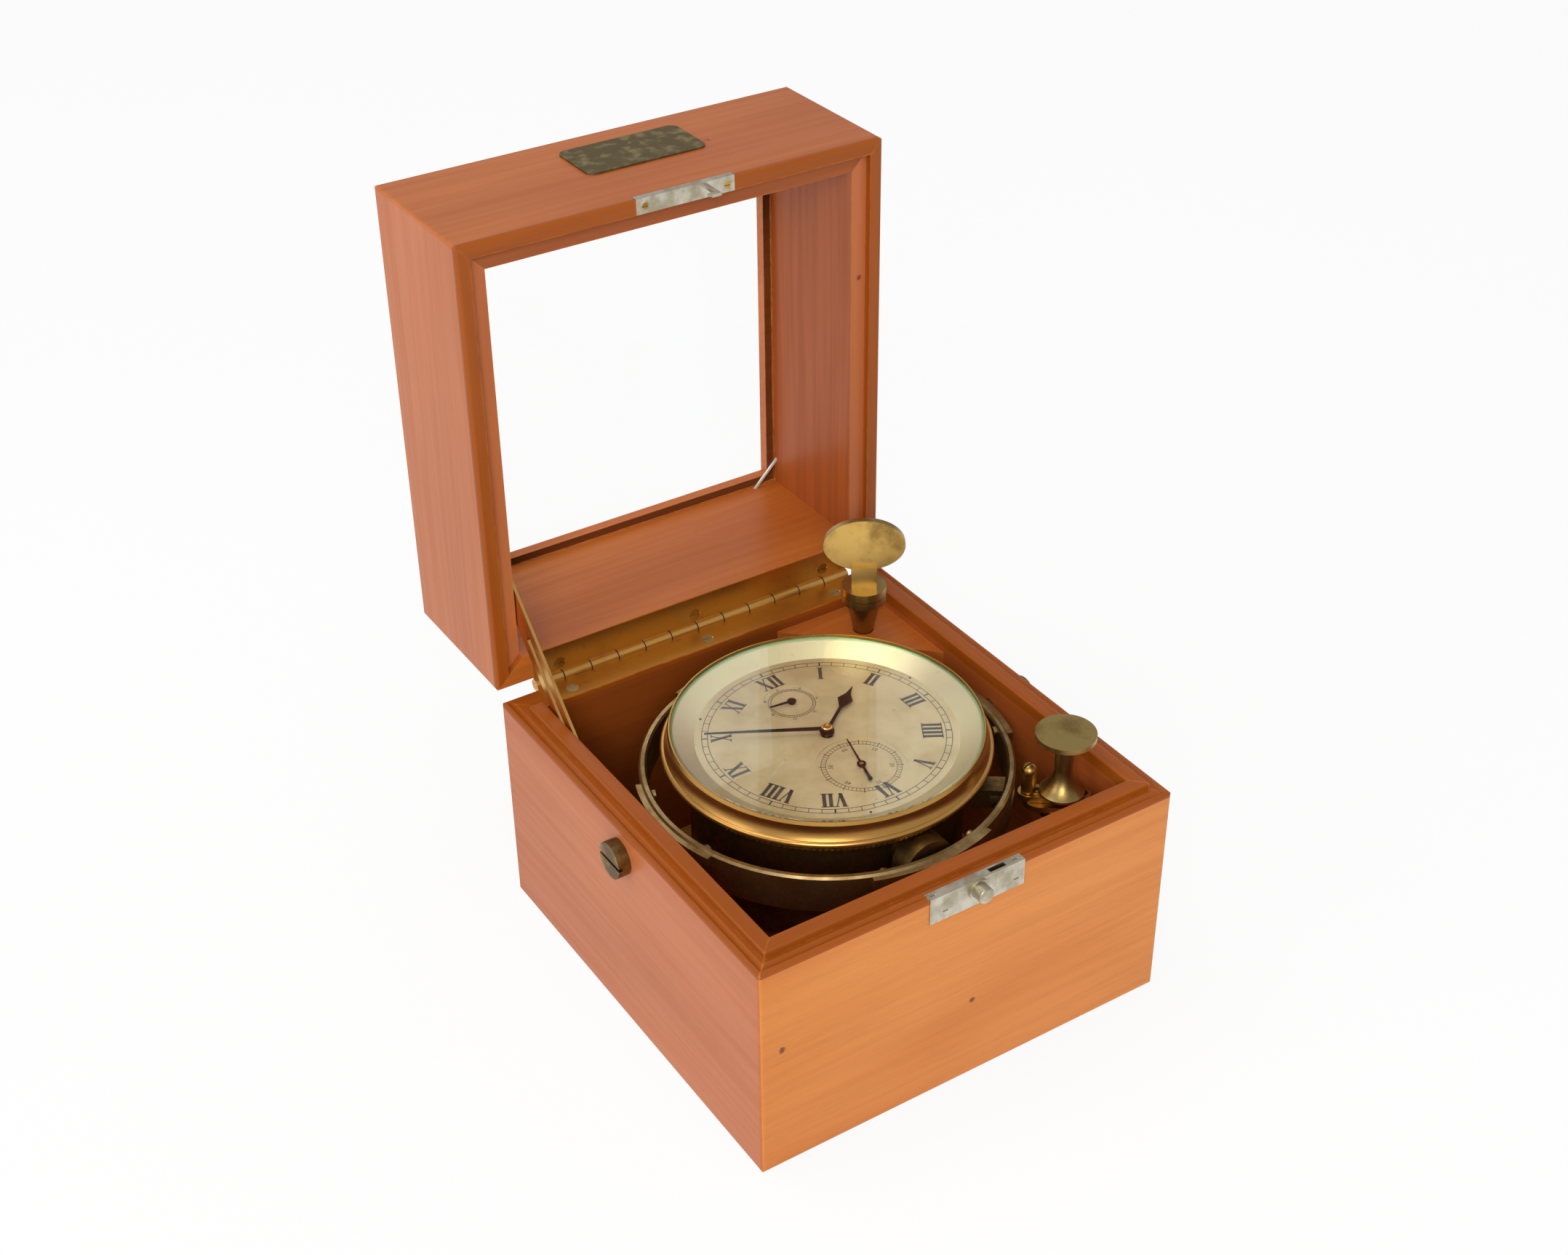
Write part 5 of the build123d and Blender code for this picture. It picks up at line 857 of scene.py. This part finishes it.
def add_knuckle_gap_shade(material):
    """Painted shade: dark rings where the gaps between the hinge's knuckles fall in shade."""
    bm = bmesh.new()
    upright_to_x = Matrix.Rotation(math.radians(90), 4, "Y")
    for joint in range(1, KNUCKLE_COUNT):
        x = (joint / KNUCKLE_COUNT - 0.5) * HINGE_LENGTH
        bmesh.ops.create_cone(
            bm,
            cap_ends=True,
            segments=32,
            radius1=KNUCKLE_GAP_SHADE_RADIUS * MM,
            radius2=KNUCKLE_GAP_SHADE_RADIUS * MM,
            depth=KNUCKLE_GAP_SHADE_WIDTH * MM,
            matrix=Matrix.Translation(Vector((x, *HINGE_AXIS)) * MM) @ upright_to_x,
        )
    mesh_piece("knuckle_gap_shade", "case", material, bm)


def add_dial_pins(material):
    """Heads of the pins that hold the dial."""
    bm = bmesh.new()
    profile = [(radius, DIAL_TOP + rise) for radius, rise in DIAL_PIN_PROFILE]
    for azimuth in DIAL_PIN_AZIMUTHS:
        x = DIAL_PIN_CIRCLE * math.cos(math.radians(azimuth))
        y = DIAL_PIN_CIRCLE * math.sin(math.radians(azimuth))
        lathe(bm, profile, segments=24, centre=(x, y))
    mesh_piece("dial_pins", "bowl", material, bm)


def add_hand_collar(material):
    """Collar on the hub of the minute hand."""
    bm = bmesh.new()
    lathe(bm, COLLAR_PROFILE, segments=48)
    mesh_piece("hand_collar", "minute", material, bm)


# Floor, light and camera


def add_floor():
    """Large white floor, which isn't part of the object."""
    bm = bmesh.new()
    bmesh.ops.create_grid(bm, x_segments=1, y_segments=1, size=FLOOR_HALF_WIDTH)
    mesh = bpy.data.meshes.new("floor")
    bm.to_mesh(mesh)
    bm.free()
    mesh.materials.append(make_floor_material())
    link_object("floor", mesh)


def light_studio():
    """White sky, dimmer as a light than as a backdrop, and soft boxes that look at the box."""
    world = bpy.data.worlds.new("studio")
    bpy.context.scene.world = world
    world.use_nodes = True
    world.node_tree.nodes.clear()
    nodes = Nodes(world.node_tree)
    path = nodes.add("ShaderNodeLightPath").outputs
    backdrop = nodes.math("MAXIMUM", path["Is Camera Ray"], path["Is Transmission Ray"])
    strength = nodes.spread(backdrop, SKY_LIGHT, 1.0)
    sky = nodes.add("ShaderNodeBackground", {"Color": WHITE, "Strength": strength})
    nodes.add("ShaderNodeOutputWorld", {"Surface": sky.outputs[0]})
    for name, place, power in LAMPS:
        light = bpy.data.lights.new(name, "AREA")
        light.size = LAMP_SIZE
        light.energy = power
        lamp = link_object(name, light)
        lamp.location = place
        aim = Vector(place) - Vector(LAMP_TARGET)
        lamp.rotation_euler = aim.to_track_quat("Z", "Y").to_euler()


def place_camera():
    """Camera that sees the object as the photograph does."""
    sideways = Vector((math.cos(VIEW_AZIMUTH), math.sin(VIEW_AZIMUTH), 0.0))
    towards_camera = Vector(
        (
            math.sin(VIEW_AZIMUTH) * math.cos(VIEW_ELEVATION),
            -math.cos(VIEW_AZIMUTH) * math.cos(VIEW_ELEVATION),
            math.sin(VIEW_ELEVATION),
        )
    )
    upwards = towards_camera.cross(sideways)
    camera_x = math.cos(VIEW_ROLL) * sideways + math.sin(VIEW_ROLL) * upwards
    camera_y = -math.sin(VIEW_ROLL) * sideways + math.cos(VIEW_ROLL) * upwards
    camera_data = bpy.data.cameras.new("camera")
    camera_data.sensor_width = SENSOR_WIDTH
    camera_data.lens = FOCAL_PIXELS * SENSOR_WIDTH / PHOTO_WIDTH
    camera_data.clip_end = CAMERA_REACH
    camera = link_object("camera", camera_data)
    place = (VIEW_SIDE * camera_x + VIEW_UP * camera_y + VIEW_DISTANCE * towards_camera) * MM
    turn = Matrix((camera_x, camera_y, towards_camera)).transposed().to_4x4()
    camera.matrix_world = Matrix.Translation(place) @ turn
    bpy.context.scene.camera = camera


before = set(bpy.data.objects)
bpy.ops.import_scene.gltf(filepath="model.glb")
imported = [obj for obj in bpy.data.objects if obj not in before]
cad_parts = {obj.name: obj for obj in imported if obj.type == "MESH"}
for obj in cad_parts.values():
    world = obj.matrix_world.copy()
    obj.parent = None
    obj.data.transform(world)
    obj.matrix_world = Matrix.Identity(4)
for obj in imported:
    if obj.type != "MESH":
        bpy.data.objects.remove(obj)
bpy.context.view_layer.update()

groups = {
    "grain": make_wood_grain(),
    "edge": make_edge_wear(),
    "dents": make_dents(),
    "inner": make_inner_side(),
    "tarnish": make_tarnish(),
}
wood = make_woods(groups)
metal = make_metals(groups)
dial_silver = make_silvered(
    "silvered dial", groups, srgb(190, 171, 134), srgb(168, 145, 104), 0.42
)
lid_pane = make_clear_glass(
    "lid pane", srgb(254, 255, 254), srgb(254, 255, 254), PANE_EDGE_RADIUS, 1.1
)
crystal = make_clear_glass(
    "crystal", srgb(252, 253, 248), srgb(190, 222, 206), CRYSTAL_EDGE_RADIUS, 1.4
)
ink = make_ink("dial ink", srgb(30, 27, 26), srgb(62, 55, 48))
# Dark oil on the dial pins; the same dark material paints the shade in the gaps between the hinge's
# knuckles
oil_and_gap_shade = make_ink("old oil and painted gap shade", srgb(34, 24, 16), srgb(58, 40, 24))
white_sprig = make_silvered(
    "white sprig", groups, srgb(238, 238, 232), srgb(214, 210, 198), 0.5
)

dress_nodes(
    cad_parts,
    (
        (wood["base sides"], ("base_left_wall", "base_right_wall", "lock_block")),
        (wood["base front"], ("base_front_wall", "base_back_wall", "base_floor")),
        (wood["lid sides"], ("lid_left_wall", "lid_right_wall")),
        (wood["lid front"], ("lid_front_wall", "lid_top_frame")),
        (wood["inside"], ("lid_back_wall", "key_shelf")),
        (
            metal["aged brass"],
            (
                "lid_screws",
                "dust_cover",
                "barrel",
                "centre_wheel",
                "third_wheel",
                "fourth_wheel",
                "escape_wheel",
                "fusee",
                "balance",
                "balance_cock",
                "pillar_plate",
                "top_plate",
                "gimbal_lock_bracket",
                "gimbal_lock_arm",
                "gimbal_lock_pins",
            ),
        ),
        (
            metal["rubbed hinge brass"],
            (
                "hinge_base_leaf",
                "hinge_lid_leaf",
                "hinge_pin",
                "stay_strip",
                "stay_stud",
                "stay_pivot_screw",
            ),
        ),
        (metal["satin brass"], ("bezel",)),
        (metal["olive brass"], ("gimbal_lock_knob", "key_head", "key_barrel")),
        (metal["dark aged brass"], ("gimbal_pivot_screws", "bowl")),
        (
            metal["worn nickel"],
            ("base_screws", "lock_plate", "lock_button", "latch_bolt", "lid_strike_plate"),
        ),
        (metal["corroded plate"], ("name_plate", "name_plate_pins")),
        (metal["gimbal metal"], ("gimbal_ring", "gimbal_ring_pads", "gimbal_ring_screws")),
        (metal["turned silver"], ("reflector_ring",)),
        (metal["blued steel"], ("hour_hand", "minute_hand", "seconds_hand", "power_hand")),
        (metal["steel"], ("detent", "balance_spring")),
        (dial_silver, ("dial",)),
        (lid_pane, ("lid_glass",)),
        (crystal, ("crystal",)),
        (white_sprig, ("glazing_sprigs",)),
    ),
)

marks_tree = make_marks_tree()
print_dial(marks_tree, ink)
# Painted shade in the gaps between the hinge's knuckles
add_knuckle_gap_shade(oil_and_gap_shade)
add_dial_pins(oil_and_gap_shade)
add_hand_collar(metal["rubbed brass"])
marks_around(
    marks_tree,
    "flange_knurl",
    metal["aged brass"],
    KNURL_COUNT,
    KNURL_RADIUS,
    KNURL_TOOTH,
    KNURL_CENTRE,
)
add_floor()
light_studio()
place_camera()
bpy.context.scene.view_settings.view_transform = "Standard"
